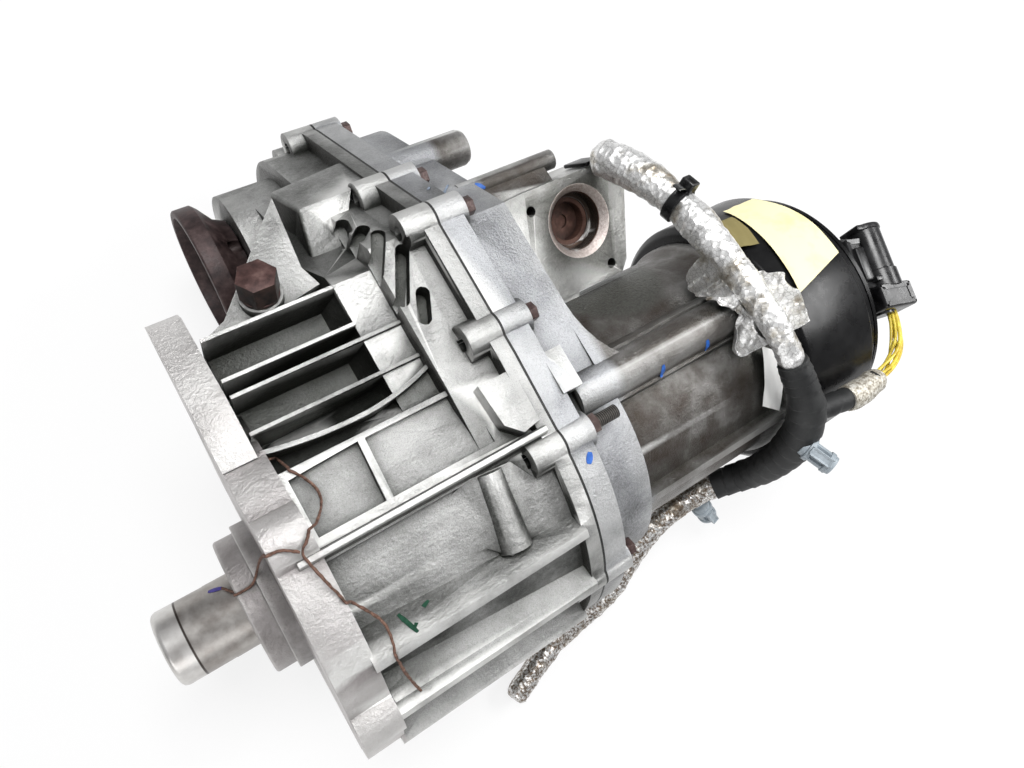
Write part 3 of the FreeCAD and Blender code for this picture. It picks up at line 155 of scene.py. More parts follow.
world = bpy.data.worlds.new("studio")
bpy.context.scene.world = world
world.use_nodes = True
world_height = add_split(world.node_tree.nodes.new("ShaderNodeTexCoord").outputs["Generated"])[2]
world_back = world.node_tree.nodes["Background"]
feed(world_back.inputs["Color"], add_ramp(world_height, [(0.0, (0.3, 0.3, 0.31)), (0.9, (0.82, 0.82, 0.83))]))
feed(world_back.inputs["Strength"], 0.62)


def lamp(name, place, target, size, power):
    data = bpy.data.lights.new(name, "AREA")
    data.shape = "RECTANGLE"
    data.size, data.size_y = size
    data.energy = power
    aim = (Vector(target) - Vector(place)).to_track_quat("-Z", "Y").to_matrix().to_4x4()
    linked(name, data).matrix_world = Matrix.Translation(place) @ aim


lamp("overhead", (0.1, 0.4, 1.5), LIT_SPOT, (0.8, 0.5), 18)
lamp("rear_key", (1.15, -0.25, 0.95), LIT_SPOT, (0.6, 0.35), 10)
lamp("front_fill", (-0.8, -0.9, 0.5), (0.1, 0.0, 0), (0.9, 0.6), 4)


# Case halves, sand-cast aluminium bolted together on one joint: fine grained skin with painted shade,
# dark and greenish, in the corners, painted light on faces that point up and painted shade on faces
# turned down or aside, and bright on edges and crests, partly from scuffs and partly painted highlight.
# They are the CAD bodies with rounded edges. The flange rim and the pad with its bore are machined,
# and the tail is smoother and browner.
def object_place(shader):
    """Object coordinates, on which all the tones are laid out."""
    return shader.id_data.nodes.new("ShaderNodeTexCoord").outputs["Object"]


def add_noise(place, scale, detail=5.0, roughness=0.55):
    return add_node(place.id_data, "TexNoise", "Fac",
                    {"Vector": place, "Scale": scale, "Detail": detail, "Roughness": roughness})


def add_mix(share, under, over):
    """Colour between two colours. share is a socket."""
    return add_node(share.id_data, "Mix", 2, {0: share, 6: under, 7: over}, data_type="RGBA")


def add_blend(share, under, over):
    """Number between two numbers. under is a socket."""
    return add_node(under.id_data, "Mix", 0, {0: share, 2: under, 3: over})


def add_range(value, low, high, to_low=0.0, to_high=1.0):
    inputs = {"Value": value, "From Min": low, "From Max": high, "To Min": to_low, "To Max": to_high}
    return add_node(value.id_data, "MapRange", 0, inputs)


def spread(cloud, low, high):
    """Spreads a noise between two values."""
    return add_range(cloud, 0.3, 0.7, low, high)


def add_geometry(place, output):
    return place.id_data.nodes.new("ShaderNodeNewGeometry").outputs[output]


def add_edges(place, low=0.51, high=0.58):
    return add_range(add_geometry(place, "Pointiness"), low, high)


def shade_hollows(colour, reach, low, high, share, tone):
    """Paints shade into corners and pockets, darker by what closes in on them within reach."""
    openness = add_node(colour.id_data, "AmbientOcclusion", "AO", {"Distance": reach}, samples=8)
    return add_mix(add_range(openness, low, high, share, 0.0), colour, tone)


def coat(shader, colour, roughness, metallic, height, strength, distance):
    """Gives a shader its colour, roughness and share of metal, and bumps it by a height map."""
    feed(shader.inputs["Base Color"], colour)
    feed(shader.inputs["Roughness"], roughness)
    feed(shader.inputs["Metallic"], metallic)
    inputs = {"Height": height, "Strength": strength, "Distance": distance}
    feed(shader.inputs["Normal"], add_node(shader.id_data, "Bump", 0, inputs))


def cast_skin(name, tones, grain_scale, grain_share, finish):
    """Cast aluminium in a dark, middle and light tone, and a tone of painted light for faces that point up.
    finish adds what is machined.
    """
    dark, middle, light, painted_top_light = tones
    material, shader = node_material(name)
    place = object_place(shader)
    grain = add_noise(place, grain_scale, 8, 0.65)
    patches = add_noise(place, 22, 6, 0.6)
    colour = add_ramp(add_blend(grain_share, patches, grain), [(0.34, dark), (0.5, middle), (0.66, light)])
    broad = add_noise(place, 9, 4, 0.6)
    facing_up_for_painted_light = add_math("ADD", add_split(add_geometry(place, "Normal"))[2], spread(patches, -0.22, 0.22))
    speckle = add_noise(place, 1900, 3, 0.7)
    # Layers: large dark stains, painted light on faces that point up, painted shade on faces turned down or
    # aside, and dark and bright grain specks.
    layers = [(broad, 0.58, 0.4, 0.6, dark), (facing_up_for_painted_light, 0.6, 1.1, 0.75, painted_top_light),
              (facing_up_for_painted_light, 0.62, 0.05, 0.85, (0.042, 0.038, 0.036)),
              (speckle, 0.48, 0.36, 0.35, (0.05, 0.053, 0.048)), (speckle, 0.6, 0.72, 0.35, (0.75, 0.75, 0.73))]
    for value, low, high, share, tone in layers:
        colour = add_mix(add_range(value, low, high, 0.0, share), colour, tone)
    colour, rough = finish(place, colour, spread(patches, 0.34, 0.56), grain)
    # Painted shade in the corners and pockets.
    colour = shade_hollows(colour, 0.04, 0.3, 0.9, 0.93, (0.03, 0.032, 0.027))
    # Edges and crests lightened: partly scuffs, partly painted highlight.
    scuffs_and_painted_highlight = add_math("MULTIPLY", add_edges(place), add_range(patches, 0.35, 0.55, 0.35, 0.9))
    colour = add_mix(scuffs_and_painted_highlight, colour, (0.78, 0.78, 0.76))
    coat(shader, colour, rough, 0.78, add_blend(0.4, grain, add_noise(place, 140, 5, 0.65)), 0.9, 0.0014)
    return material


# Each fade says where a finish is absent and where it is full.
RIM_FADE = (0.0228, 0.0218)
TAIL_FADE = (0.21, 0.216)
PAD_CENTRE = Vector((0.26675, 0.1132, 0.06))
PAD_TILT = math.radians(30)
BORE_CENTRE = (0.0035, -0.0005)
FACE_LEVEL = (-0.006, -0.005)
FACE_REACH = (0.062, 0.058)
BORE_FLOOR = (-0.03, -0.029)
CHAMFER_REACH = (0.0246, 0.0243)
BORE_REACH = (0.0197, 0.0193)


def front_finish(place, colour, rough, grain):
    """The rim of the flange is turned bright, with a faint pinkish tone."""
    rim = add_range(add_split(place)[0], *RIM_FADE)
    milled = add_noise(place, 30, 5, 0.6)
    bright = add_ramp(milled, [(0.35, (0.3, 0.28, 0.275)), (0.65, (0.56, 0.53, 0.525))])
    return add_mix(rim, colour, bright), rough


def rear_finish(place, colour, rough, grain):
    """Smooth brownish tail behind the shoulder, and the machined pad with its rusty bore."""
    smooth = add_noise(place, 35, 6, 0.6)
    satin = add_ramp(smooth, [(0.35, (0.07, 0.056, 0.047)), (0.5, (0.125, 0.116, 0.106)),
                              (0.66, (0.27, 0.263, 0.253))])
    along_tail = add_range(add_split(place)[0], *TAIL_FADE)
    colour = add_mix(along_tail, colour, satin)
    inputs = {"Vector": place, "Location": PAD_CENTRE, "Rotation": (PAD_TILT, 0, 0)}
    on_pad = add_node(place.id_data, "Mapping", 0, inputs, vector_type="TEXTURE")
    u, v, w = add_split(on_pad)
    across = add_math("SUBTRACT", u, BORE_CENTRE[0])
    upward = add_math("SUBTRACT", v, BORE_CENTRE[1])
    squares = add_math("ADD", add_math("MULTIPLY", across, across), add_math("MULTIPLY", upward, upward))
    reach = add_math("SQRT", squares, 0.0)
    face = add_math("MULTIPLY", add_range(w, *FACE_LEVEL), add_range(reach, *FACE_REACH))
    colour = add_mix(face, colour, add_ramp(grain, [(0.35, (0.08, 0.08, 0.07)), (0.65, (0.15, 0.15, 0.135))]))
    deep = add_range(w, *BORE_FLOOR)
    chamfer = add_math("MULTIPLY", add_range(reach, *CHAMFER_REACH), deep)
    colour = add_mix(chamfer, colour, add_ramp(grain, [(0.35, (0.6, 0.5, 0.46)), (0.65, (0.85, 0.78, 0.74))]))
    inside = add_math("MULTIPLY", add_range(reach, *BORE_REACH), deep)
    rust = add_ramp(smooth, [(0.35, (0.05, 0.022, 0.014)), (0.65, (0.13, 0.065, 0.045))])
    return add_mix(inside, colour, rust), add_blend(along_tail, rough, 0.36)


def settle(item):
    """Moves an object's own place into its mesh."""
    item.data.transform(item.matrix_basis.copy())
    item.matrix_basis = Matrix.Identity(4)


def only(item):
    bpy.ops.object.select_all(action="DESELECT")
    item.select_set(True)
    bpy.context.view_layer.objects.active = item


def apply_modifier(item, kind, **settings):
    modifier = item.modifiers.new(kind.lower(), kind)
    for name, value in settings.items():
        setattr(modifier, name, value)
    only(item)
    bpy.ops.object.modifier_apply(modifier=modifier.name)


def smooth_below(item, degrees):
    only(item)
    bpy.ops.object.shade_smooth_by_angle(angle=math.radians(degrees))
    item.select_set(False)


def coat_with(item, material):
    item.data.materials.clear()
    item.data.materials.append(material)


def set_piece(item, material, replaced=(), body="case"):
    coat_with(item, material)
    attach(item, body)
    for node in replaced:
        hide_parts(node)


MERGE_REACH = 0.00001
FLAT_ANGLE = math.radians(1.0)
SHARP_ANGLE = math.radians(35)


def rounded_copy(node, name, width, material, body="case", segments=2):
    """A merged copy of a CAD body with its sharp edges rounded."""
    item = nodes[node].copy()
    item.data = nodes[node].data.copy()
    item.name = name
    bpy.context.scene.collection.objects.link(item)
    shell = bmesh.new()
    shell.from_mesh(item.data)
    bmesh.ops.remove_doubles(shell, verts=shell.verts, dist=MERGE_REACH)
    bmesh.ops.dissolve_limit(shell, angle_limit=FLAT_ANGLE, verts=shell.verts, edges=shell.edges)
    shell.to_mesh(item.data)
    shell.free()
    apply_modifier(item, "BEVEL", width=width, segments=segments, limit_method="ANGLE",
                   angle_limit=SHARP_ANGLE, use_clamp_overlap=True)
    smooth_below(item, 40)
    set_piece(item, material, [node], body)
    return item


def dress(names, material):
    for name in names:
        coat_with(nodes[name], material)


# Dark, middle and light tones, and last the tone of painted light on faces that point up.
FRONT_TONES = ((0.055, 0.057, 0.052), (0.15, 0.153, 0.145), (0.34, 0.345, 0.335), (0.6, 0.6, 0.59))
REAR_TONES = ((0.11, 0.115, 0.12), (0.25, 0.255, 0.265), (0.44, 0.445, 0.46), (0.58, 0.59, 0.61))
front_cast = cast_skin("cast_front", FRONT_TONES, 420, 0.4, front_finish)
rear_cast = cast_skin("cast_rear", REAR_TONES, 620, 0.55, rear_finish)
front_half = rounded_copy("front_case", "front_case_casting", 0.001, front_cast)
rear_half = rounded_copy("rear_case", "rear_case_casting", 0.001, rear_cast)
retainer = rounded_copy("front_retainer", "front_retainer_casting", 0.0006, front_cast)
dress(["pump_housing"], front_cast)


# Bore cup at the bottom of the pad's bore, pressed from sheet steel and driven in. It has rusted
# to a dull brown.
def rusty(name, tones, roughness, scale, height):
    """Rusted iron in a dark, middle and light tone."""
    material, shader = node_material(name)
    place = object_place(shader)
    patches = add_noise(place, scale, 7, 0.6)
    # Painted shade in the hollows.
    colour = shade_hollows(add_ramp(patches, list(zip((0.34, 0.52, 0.7), tones))), 0.012, 0.2, 0.9, 0.7,
                           (0.012, 0.008, 0.007))
    colour = add_mix(add_math("MULTIPLY", add_edges(place, 0.52, 0.6), 0.45), colour, tones[2])
    coat(shader, colour, spread(patches, roughness - 0.08, roughness + 0.12), 0.35,
         add_noise(place, scale * 4, 5, 0.6), 0.4, height)
    return material


cup_rust = rusty("cup_rust", ((0.045, 0.02, 0.013), (0.09, 0.042, 0.03), (0.15, 0.08, 0.06)),
                 0.6, 160, 0.0003)
dress(["bore_cup"], cup_rust)


# Flange of the front output, a forging bolted to its shaft, with a satin skin of old rust; case bolts,
# plugs and the split stud are plain steel that has gone dark and brown. The fill plug carries painted
# light on its top and painted shade on its sides.
flange_rust = rusty("flange_rust", ((0.022, 0.013, 0.013), (0.055, 0.034, 0.033), (0.11, 0.075, 0.072)),
                    0.5, 120, 0.0004)
bolt_rust = rusty("bolt_rust", ((0.022, 0.011, 0.01), (0.065, 0.035, 0.032), (0.16, 0.12, 0.11)),
                  0.45, 260, 0.0003)
PLUG_LEAN = math.radians(17)
plug_rust, plug_shader = node_material("plug_rust")
plug_place = object_place(plug_shader)
plug_patches = add_noise(plug_place, 190, 6, 0.6)
# The plug's top is painted lighter as light and its sides near black as painted shade, by which way each face
# points.
plug_top_painted_lit = add_ramp(plug_patches, [(0.35, (0.035, 0.015, 0.013)), (0.55, (0.075, 0.036, 0.032)),
                                   (0.7, (0.13, 0.075, 0.066))])
plug_sides_painted_shade = add_ramp(plug_patches, [(0.4, (0.012, 0.009, 0.008)), (0.7, (0.045, 0.025, 0.02))])
plug_axis = (0, math.sin(PLUG_LEAN), math.cos(PLUG_LEAN))
plug_facing = add_node(plug_place.id_data, "VectorMath", "Value",
                       {0: add_geometry(plug_place, "Normal"), 1: plug_axis}, operation="DOT_PRODUCT")
coat(plug_shader, add_mix(add_range(plug_facing, 0.5, 0.9), plug_sides_painted_shade, plug_top_painted_lit),
     spread(plug_patches, 0.4, 0.62), 0.3, plug_patches, 0.4, 0.0003)
rounded_copy("fill_plug", "fill_plug_worn", 0.0008, plug_rust)
rounded_copy("front_output_flange", "front_output_flange_worn", 0.0008, flange_rust,
             "front_output")
rounded_copy("case_bolts", "case_bolts_worn", 0.0005, bolt_rust)
dress(["drain_plug", "rear_output_flange"], flange_rust)
dress(["split_stud_nut", "front_output_nut", "rear_output_nut"], bolt_rust)

stud_steel, stud_shader = node_material("stud_steel")
stud_place = object_place(stud_shader)
stud_thread = add_node(stud_place.id_data, "TexWave", "Fac",
                       {"Vector": stud_place, "Scale": 250, "Distortion": 0}, bands_direction="X")
coat(stud_shader, add_mix(stud_thread, (0.012, 0.011, 0.01), (0.13, 0.12, 0.11)),
     spread(add_noise(stud_place, 200), 0.35, 0.6), 0.6, stud_thread, 0.8, 0.0006)
dress(["split_stud"], stud_steel)


# Input shaft, turned and ground steel with a satin brownish film. Its front end is brighter, with a
# thin dark line round it where a sleeve has sat.
FRONT_END_FADE = (-0.052, -0.0526)
RING_FRONT = (-0.0532, -0.0528)
RING_BACK = (-0.0516, -0.052)
shaft_steel, shaft_shader = node_material("ground_steel")
shaft_place = object_place(shaft_shader)
shaft_stretched = add_node(shaft_place.id_data, "Mapping", 0, {"Vector": shaft_place, "Scale": (6, 1, 1)})
shaft_film = add_noise(shaft_place, 55, 5, 0.6)
shaft_x = add_split(shaft_place)[0]
shaft_colour = add_ramp(shaft_film, [(0.35, (0.24, 0.215, 0.2)), (0.52, (0.36, 0.34, 0.32)),
                                     (0.7, (0.52, 0.5, 0.48))])
shaft_colour = add_mix(add_range(shaft_x, *FRONT_END_FADE), shaft_colour,
                       add_ramp(shaft_film, [(0.35, (0.5, 0.48, 0.46)), (0.65, (0.74, 0.73, 0.71))]))
shaft_ring = add_math("MULTIPLY", add_range(shaft_x, *RING_FRONT), add_range(shaft_x, *RING_BACK))
coat(shaft_shader, add_mix(shaft_ring, shaft_colour, (0.06, 0.05, 0.045)), spread(shaft_film, 0.3, 0.44),
     0.92, add_noise(shaft_stretched, 260, 5, 0.6), 0.12, 0.0002)
shaft = rounded_copy("input_shaft", "input_shaft_ground", 0.0004, shaft_steel, "input")


# Gears, shafts, bearings, chain and clutch plates inside the case, clean steel in oil, and the cast
# carrier and fork. They are seen only through openings and where the case is cut.
def clouded(name, scale, detail, grit, stops, roughness, metallic, strength, distance):
    """Toned and bumped by one noise. roughness is a number, or the two that the noise spreads between."""
    material, shader = node_material(name)
    cloud = add_noise(object_place(shader), scale, detail, grit)
    rough = spread(cloud, *roughness) if isinstance(roughness, tuple) else roughness
    coat(shader, add_ramp(cloud, stops), rough, metallic, cloud, strength, distance)
    return material


def clean_steel(name, dark, light, metallic, roughness, scale, height):
    return clouded(name, scale, 7, 0.6, [(0.3, dark), (0.7, light)], (roughness - 0.05, roughness + 0.08),
                   metallic, 0.4, height)


steel = clean_steel("machined_steel", (0.42, 0.42, 0.42), (0.6, 0.6, 0.6), 1.0, 0.3, 220, 0.0001)
cast_iron = clean_steel("cast_steel", (0.12, 0.12, 0.12), (0.26, 0.26, 0.25), 0.8, 0.5, 300, 0.0004)
copper = clean_steel("copper_coil", (0.5, 0.2, 0.08), (0.7, 0.35, 0.16), 1.0, 0.35, 400, 0.0001)
lining = clean_steel("friction_lining", (0.08, 0.05, 0.03), (0.14, 0.09, 0.05), 0.0, 0.8, 300, 0.0003)
dress(["main_shaft", "front_output_shaft", "drive_sprocket", "chain", "range_sleeve", "shift_rail",
       "planet_pins", "planet_gear_1", "planet_gear_2", "planet_gear_3", "ring_gear", "clutch_hub",
       "steel_plates", "pressure_plate", "ramp_ring", "fixed_ramp", "pump_rotor", "front_output_bearing",
       "rear_output_bearing", "input_bearing", "rear_bearing", "clutch_drum"], steel)
dress(["planet_carrier", "shift_fork"], cast_iron)
dress(["friction_plates"], lining)
dress(["clutch_coil"], copper)


# Clutch housing behind the case, a pressed drum in glossy black paint, scuffed and dusty, with its
# cover; rubber seal lips, and the thin dark line of sealant squeezed out along the joint.
def plain_surface(name, dark, light, roughness, scale, strength, gloss=0.5):
    """Paint, rubber or plastic in a dark and a light tone, finely bumped."""
    material, shader = node_material(name)
    place = object_place(shader)
    cloud = add_noise(place, scale, 6, 0.6)
    feed(shader.inputs["Specular IOR Level"], gloss)
    coat(shader, add_ramp(cloud, [(0.38, dark), (0.72, light)]),
         spread(cloud, roughness - 0.06, roughness + 0.12), 0.0,
         add_noise(place, scale * 5, 4, 0.6), strength, 0.0003)
    return material


black_paint = plain_surface("black_paint", (0.0015, 0.0015, 0.0018), (0.008, 0.008, 0.0085), 0.26, 45,
                            0.12, 0.22)
rubber = plain_surface("seal_rubber", (0.012, 0.012, 0.012), (0.03, 0.03, 0.03), 0.6, 200, 0.3)
sealant = plain_surface("joint_sealant", (0.006, 0.006, 0.006), (0.035, 0.035, 0.033), 0.6, 160, 0.8)
drum = rounded_copy("clutch_housing", "clutch_housing_painted", 0.0015, black_paint, segments=3)
dress(["clutch_housing_cover"], black_paint)
dress(["front_output_seal", "input_seal", "rear_seal"], rubber)
dress(["case_gasket"], sealant)


# Wiring harness. Two crinkled foil sleeves and a cloth-taped stretch between them follow the rear of
# the case, and a taped branch leaves the bundle for the black connector.
def smooth_line(points):
    """Points along the smooth line of a cord, read from a curve with those control points."""
    data = bpy.data.curves.new("line", "CURVE")
    data.dimensions = "3D"
    spline = data.splines.new("NURBS")
    spline.points.add(len(points) - 1)
    for point, place in zip(spline.points, points):
        point.co = (*place, 1)
    spline.order_u = 3
    spline.use_endpoint_u = True
    spline.resolution_u = 10
    item = linked("line", data)
    mesh = bpy.data.meshes.new_from_object(item)
    line = [vertex.co.copy() for vertex in mesh.vertices]
    bpy.data.objects.remove(item)
    return line


def along(line, spacing):
    """Evenly spaced places on a line, the last one at its end."""
    places = []
    walked = 0.0
    next_at = 0.0
    for a, b in zip(line, line[1:]):
        run = (b - a).length
        while next_at <= walked + run:
            places.append(a.lerp(b, (next_at - walked) / run))
            next_at += spacing
        walked += run
    if (places[-1] - line[-1]).length <= spacing * 0.3:
        places.pop()
    return places + [line[-1].copy()]


def carried_frames(places):
    """Each place with two directions across the line, turned along it without twist."""
    frames = []
    side = None
    for index, place in enumerate(places):
        before = places[max(index - 1, 0)]
        after = places[min(index + 1, len(places) - 1)]
        ahead = (after - before).normalized()
        if side is None:
            side = ahead.orthogonal().normalized()
        side = (side - ahead * side.dot(ahead)).normalized()
        frames.append((place, side, ahead.cross(side)))
    return frames


def tube_mesh(name, places, radius_at, sides):
    """Closed tube round a line. radius_at gives the radius from the share of the way, the angle, the
    place and the direction outwards."""
    mesh = bpy.data.meshes.new(name)
    shell = bmesh.new()
    rings = []
    frames = carried_frames(places)
    for index, (place, side, upward) in enumerate(frames):
        ring = []
        for step in range(sides):
            angle = 2 * math.pi * step / sides
            out = side * math.cos(angle) + upward * math.sin(angle)
            radius = radius_at(index / (len(frames) - 1), angle, place, out)
            ring.append(shell.verts.new(place + out * radius))
        rings.append(ring)
    for ring, beyond in zip(rings, rings[1:]):
        for step in range(sides):
            after = (step + 1) % sides
            shell.faces.new((ring[step], ring[after], beyond[after], beyond[step]))
    shell.faces.new(list(reversed(rings[0])))
    shell.faces.new(rings[-1])
    bmesh.ops.recalc_face_normals(shell, faces=shell.faces)
    shell.to_mesh(mesh)
    shell.free()
    for polygon in mesh.polygons:
        polygon.use_smooth = True
    return linked(name, mesh)


def mm(points):
    return [tuple(value / 1000 for value in point) for point in points]


upper_route = mm([(292, 142, 84), (300, 121, 95), (306, 98, 103), (310, 72, 109), (311, 45, 113),
                  (313, 17, 115), (316, -10, 113), (321, -34, 104), (327, -53, 91)])
taped_route = mm([(327, -53, 91), (330.4, -63.8, 84.2), (332, -79, 68), (332, -90, 44), (331, -96, 17),
                  (331, -98, -6), (327, -97, -25), (312, -94, -37)])
lower_route = mm([(312, -94, -37), (300, -92.5, -46.6), (278, -93.5, -49), (254, -97, -51), (233, -108, -64),
                  (214, -124, -84), (194, -131, -100), (168, -134, -105.6), (138, -142, -105.8),
                  (111, -154, -105.7)])
stub_route = mm([(334, -73, 75), (348, -75, 77), (364, -78, 75), (381, -80, 73), (398, -79, 71)])
lead_route = mm([(398, -79, 71), (415, -78, 69), (433, -72, 67.5), (446, -61, 67), (455, -43, 66)])

foil, foil_shader = node_material("crinkled_foil")
foil_place = object_place(foil_shader)
foil_tree = foil_shader.id_data
foil_cells = add_node(foil_tree, "TexVoronoi", "Distance", {"Vector": foil_place, "Scale": 230})
foil_creases = add_node(foil_tree, "TexVoronoi", "Distance", {"Vector": foil_place, "Scale": 330},
                        feature="DISTANCE_TO_EDGE")
foil_fine = add_noise(foil_place, 500, 6, 0.7)
foil_colour = add_ramp(add_noise(foil_place, 48, 7, 0.65),
                       [(0.31, (0.24, 0.19, 0.13)), (0.4, (0.62, 0.59, 0.53)), (0.49, (0.94, 0.94, 0.93))])
# Dark creases: painted shade.
foil_colour = add_mix(add_range(foil_creases, 0.07, 0.0, 0.0, 0.55), foil_colour, (0.13, 0.12, 0.11))
foil_soiled = add_math("MULTIPLY", add_range(add_split(foil_place)[2], 0.03, -0.02),
                       add_range(foil_fine, 0.42, 0.56))
foil_colour = add_mix(foil_soiled, foil_colour, (0.16, 0.12, 0.085))
# Painted shade in the hollows of the crumple.
foil_colour = shade_hollows(foil_colour, 0.006, 0.3, 0.95, 0.6, (0.06, 0.055, 0.05))
coat(foil_shader, foil_colour, add_range(foil_fine, 0.35, 0.65, 0.3, 0.5), 0.8, foil_cells, 0.7, 0.0012)

tape, tape_shader = node_material("cloth_tape")
tape_place = object_place(tape_shader)
tape_tones = [(0.42, (0.006, 0.0065, 0.007)), (0.62, (0.02, 0.021, 0.021)), (0.78, (0.075, 0.073, 0.068))]
coat(tape_shader, add_ramp(add_noise(tape_place, 40, 6, 0.6), tape_tones), 0.6, 0.0,
     add_noise(tape_place, 900, 3, 0.5), 0.35, 0.0004)


def stepped(stops, share):
    """Value read from a list of (share, value) stops."""
    for (a, low), (b, high) in zip(stops, stops[1:]):
        if share <= b:
            return low + (high - low) * max(0.0, (share - a) / (b - a))
    return stops[-1][1]


def crumple(place, out, size):
    """Height of crushed foil: sharp ridges round hollow facets of about that size."""
    return noise.voronoi((place + out * size * 0.6) / size)[0][0]


def foil_radius(stops):
    """Radius of a crushed foil sleeve that follows the stops."""
    def radius_at(share, angle, place, out):
        big = noise.noise(place * 60 + out * 1.1)
        return (stepped(stops, share) + 0.0008 * big + 0.0014 * (crumple(place, out, 0.0085) - 0.45)
                + 0.0007 * (crumple(place, out, 0.0036) - 0.4))
    return radius_at


def wound_radius(stops, turns, lap_height, lump_height, lump_scale):
    """Radius of a bundle wound with tape, which steps up at each lap over a lumpy core."""
    def radius_at(share, angle, place, out):
        lap = (share * turns + angle / (2 * math.pi)) % 1.0
        return stepped(stops, share) + lap_height * lap + lump_height * noise.noise(place * lump_scale)
    return radius_at


UPPER_RADII = [(0.0, 0.004), (0.008, 0.0085), (0.03, 0.012), (0.2, 0.0122), (0.32, 0.0098), (0.4, 0.0116),
               (0.55, 0.0098), (0.75, 0.0086), (1.0, 0.0076)]
LOWER_RADII = [(0.0, 0.0098), (0.1, 0.0088), (0.6, 0.0086), (0.93, 0.0082), (0.985, 0.0076), (1.0, 0.005)]
TAPED_RADII = [(0.0, 0.0098), (0.12, 0.0118), (0.35, 0.0128), (0.6, 0.0115), (1.0, 0.0106)]
LAP_RADII = [(0.0, 0.0092), (1.0, 0.0104)]
BRANCH_RADII = [(0.0, 0.0073), (1.0, 0.0073)]
CREASE_ANGLE = 30


def harness_piece(name, route, radius_at, sides, spacing, material, node,
                  nose=0.0):
    """A sleeve or bundle along a route. nose is how far its mouth stands out before the route."""
    line = smooth_line(route)
    places = along(line, spacing)
    ahead = (places[1] - places[0]).normalized()
    places = [places[0] - ahead * (nose - step * spacing) for step in range(int(nose / spacing))] + places
    item = tube_mesh(name, places, radius_at, sides)
    smooth_below(item, CREASE_ANGLE)
    set_piece(item, material, [node])


harness_piece("taped_bundle", taped_route, wound_radius(TAPED_RADII, 13, 0.0008, 0.0005, 90), 48, 0.0014,
              tape, "harness_taped")
harness_piece("foil_sleeve_lower", lower_route, foil_radius(LOWER_RADII), 60, 0.0012, foil,
              "harness_lower")

LAP_RINGS = 17
tape_lap = tube_mesh("tape_lap", along(smooth_line(upper_route), 0.0012)[-LAP_RINGS:],
                     wound_radius(LAP_RADII, 3, 0.0007, 0.0004, 110), 48)
smooth_below(tape_lap, CREASE_ANGLE)
set_piece(tape_lap, tape)
branch = tube_mesh("taped_branch", along(smooth_line(stub_route), 0.0014),
                   wound_radius(BRANCH_RADII, 6, 0.0006, 0.0003, 140), 36)
smooth_below(branch, CREASE_ANGLE)
set_piece(branch, tape, ["harness_stub"])


# Tie round the upper sleeve: a black nylon strap drawn tight through its lock block, tail left long.
# Behind the sleeve a black bracket stands on the edge of the pad.
def at(x, y, z):
    return Vector((x, y, z)) / 1000


def lay(item, start, end, side):
    """Turns a piece made along Z so that Z runs from start to end and X leans to the given side."""
    ahead = (end - start).normalized()
    level = (side - ahead * side.dot(ahead)).normalized()
    turn = Matrix((level, ahead.cross(level), ahead)).transposed().to_4x4()
    item.data.transform(Matrix.Translation(start) @ turn)


def named_new(name):
    """Names what was just added and settles it."""
    item = bpy.context.object
    item.name = name
    settle(item)
    return item


def edit_all():
    bpy.ops.object.mode_set(mode="EDIT")
    bpy.ops.mesh.select_all(action="SELECT")


def turned(name, stations, sides, capped=True):
    """Round piece along Z, grown from a disc by extruding and scaling it station by station, in mm."""
    bpy.ops.object.select_all(action="DESELECT")
    height, radius = stations[0]
    bpy.ops.mesh.primitive_circle_add(vertices=sides, radius=radius / 1000, location=(0, 0, height / 1000),
                                      fill_type="NGON" if capped else "NOTHING")
    item = named_new(name)
    edit_all()
    extrude = bpy.ops.mesh.extrude_region_move if capped else bpy.ops.mesh.extrude_edges_move
    for next_height, next_radius in stations[1:]:
        extrude(TRANSFORM_OT_translate={"value": (0, 0, (next_height - height) / 1000)})
        share = next_radius / radius
        bpy.ops.transform.resize(value=(share, share, 1), center_override=(0, 0, next_height / 1000))
        height, radius = next_height, next_radius
    bpy.ops.mesh.select_all(action="SELECT")
    bpy.ops.mesh.normals_make_consistent(inside=False)
    bpy.ops.object.mode_set(mode="OBJECT")
    return item


def moulded(name, low, high, rounding):
    """Block between two corners in mm, its edges rounded."""
    bpy.ops.object.select_all(action="DESELECT")
    bpy.ops.mesh.primitive_cube_add(size=1, location=[(a + b) / 2000 for a, b in zip(low, high)],
                                    scale=[(b - a) / 1000 for a, b in zip(low, high)])
    item = named_new(name)
    edit_all()
    bpy.ops.mesh.bevel(offset=rounding / 1000, segments=3, affect="EDGES")
    bpy.ops.object.mode_set(mode="OBJECT")
    return item


def sink_faces(item, test, border, depth):
    """Insets each face that passes the test and pushes it in by depth, in mm."""
    only(item)
    bpy.ops.object.mode_set(mode="EDIT")
    bpy.ops.mesh.select_mode(type="FACE")
    bpy.ops.mesh.select_all(action="DESELECT")
    shell = bmesh.from_edit_mesh(item.data)
    for face in shell.faces:
        face.select_set(bool(test(face.calc_center_median() * 1000, face.normal)))
    bmesh.update_edit_mesh(item.data)
    bpy.ops.mesh.inset(thickness=border / 1000, depth=-depth / 1000, use_individual=False)
    bpy.ops.object.mode_set(mode="OBJECT")


def joined(name, pieces):
    bpy.ops.object.select_all(action="DESELECT")
    for piece in pieces:
        piece.select_set(True)
    bpy.context.view_layer.objects.active = pieces[0]
    bpy.ops.object.join()
    pieces[0].name = name
    pieces[0].select_set(False)
    return pieces[0]


MOULDED_ANGLE = 35
bracket = moulded("sleeve_strap", (18, 31.3, -24), (34, 34, 3), 0.8)
bracket.data.transform(Matrix.Translation(PAD_CENTRE) @ Matrix.Rotation(PAD_TILT, 4, "X"))
smooth_below(bracket, MOULDED_ANGLE)
set_piece(bracket, black_paint, ["harness_bracket"])

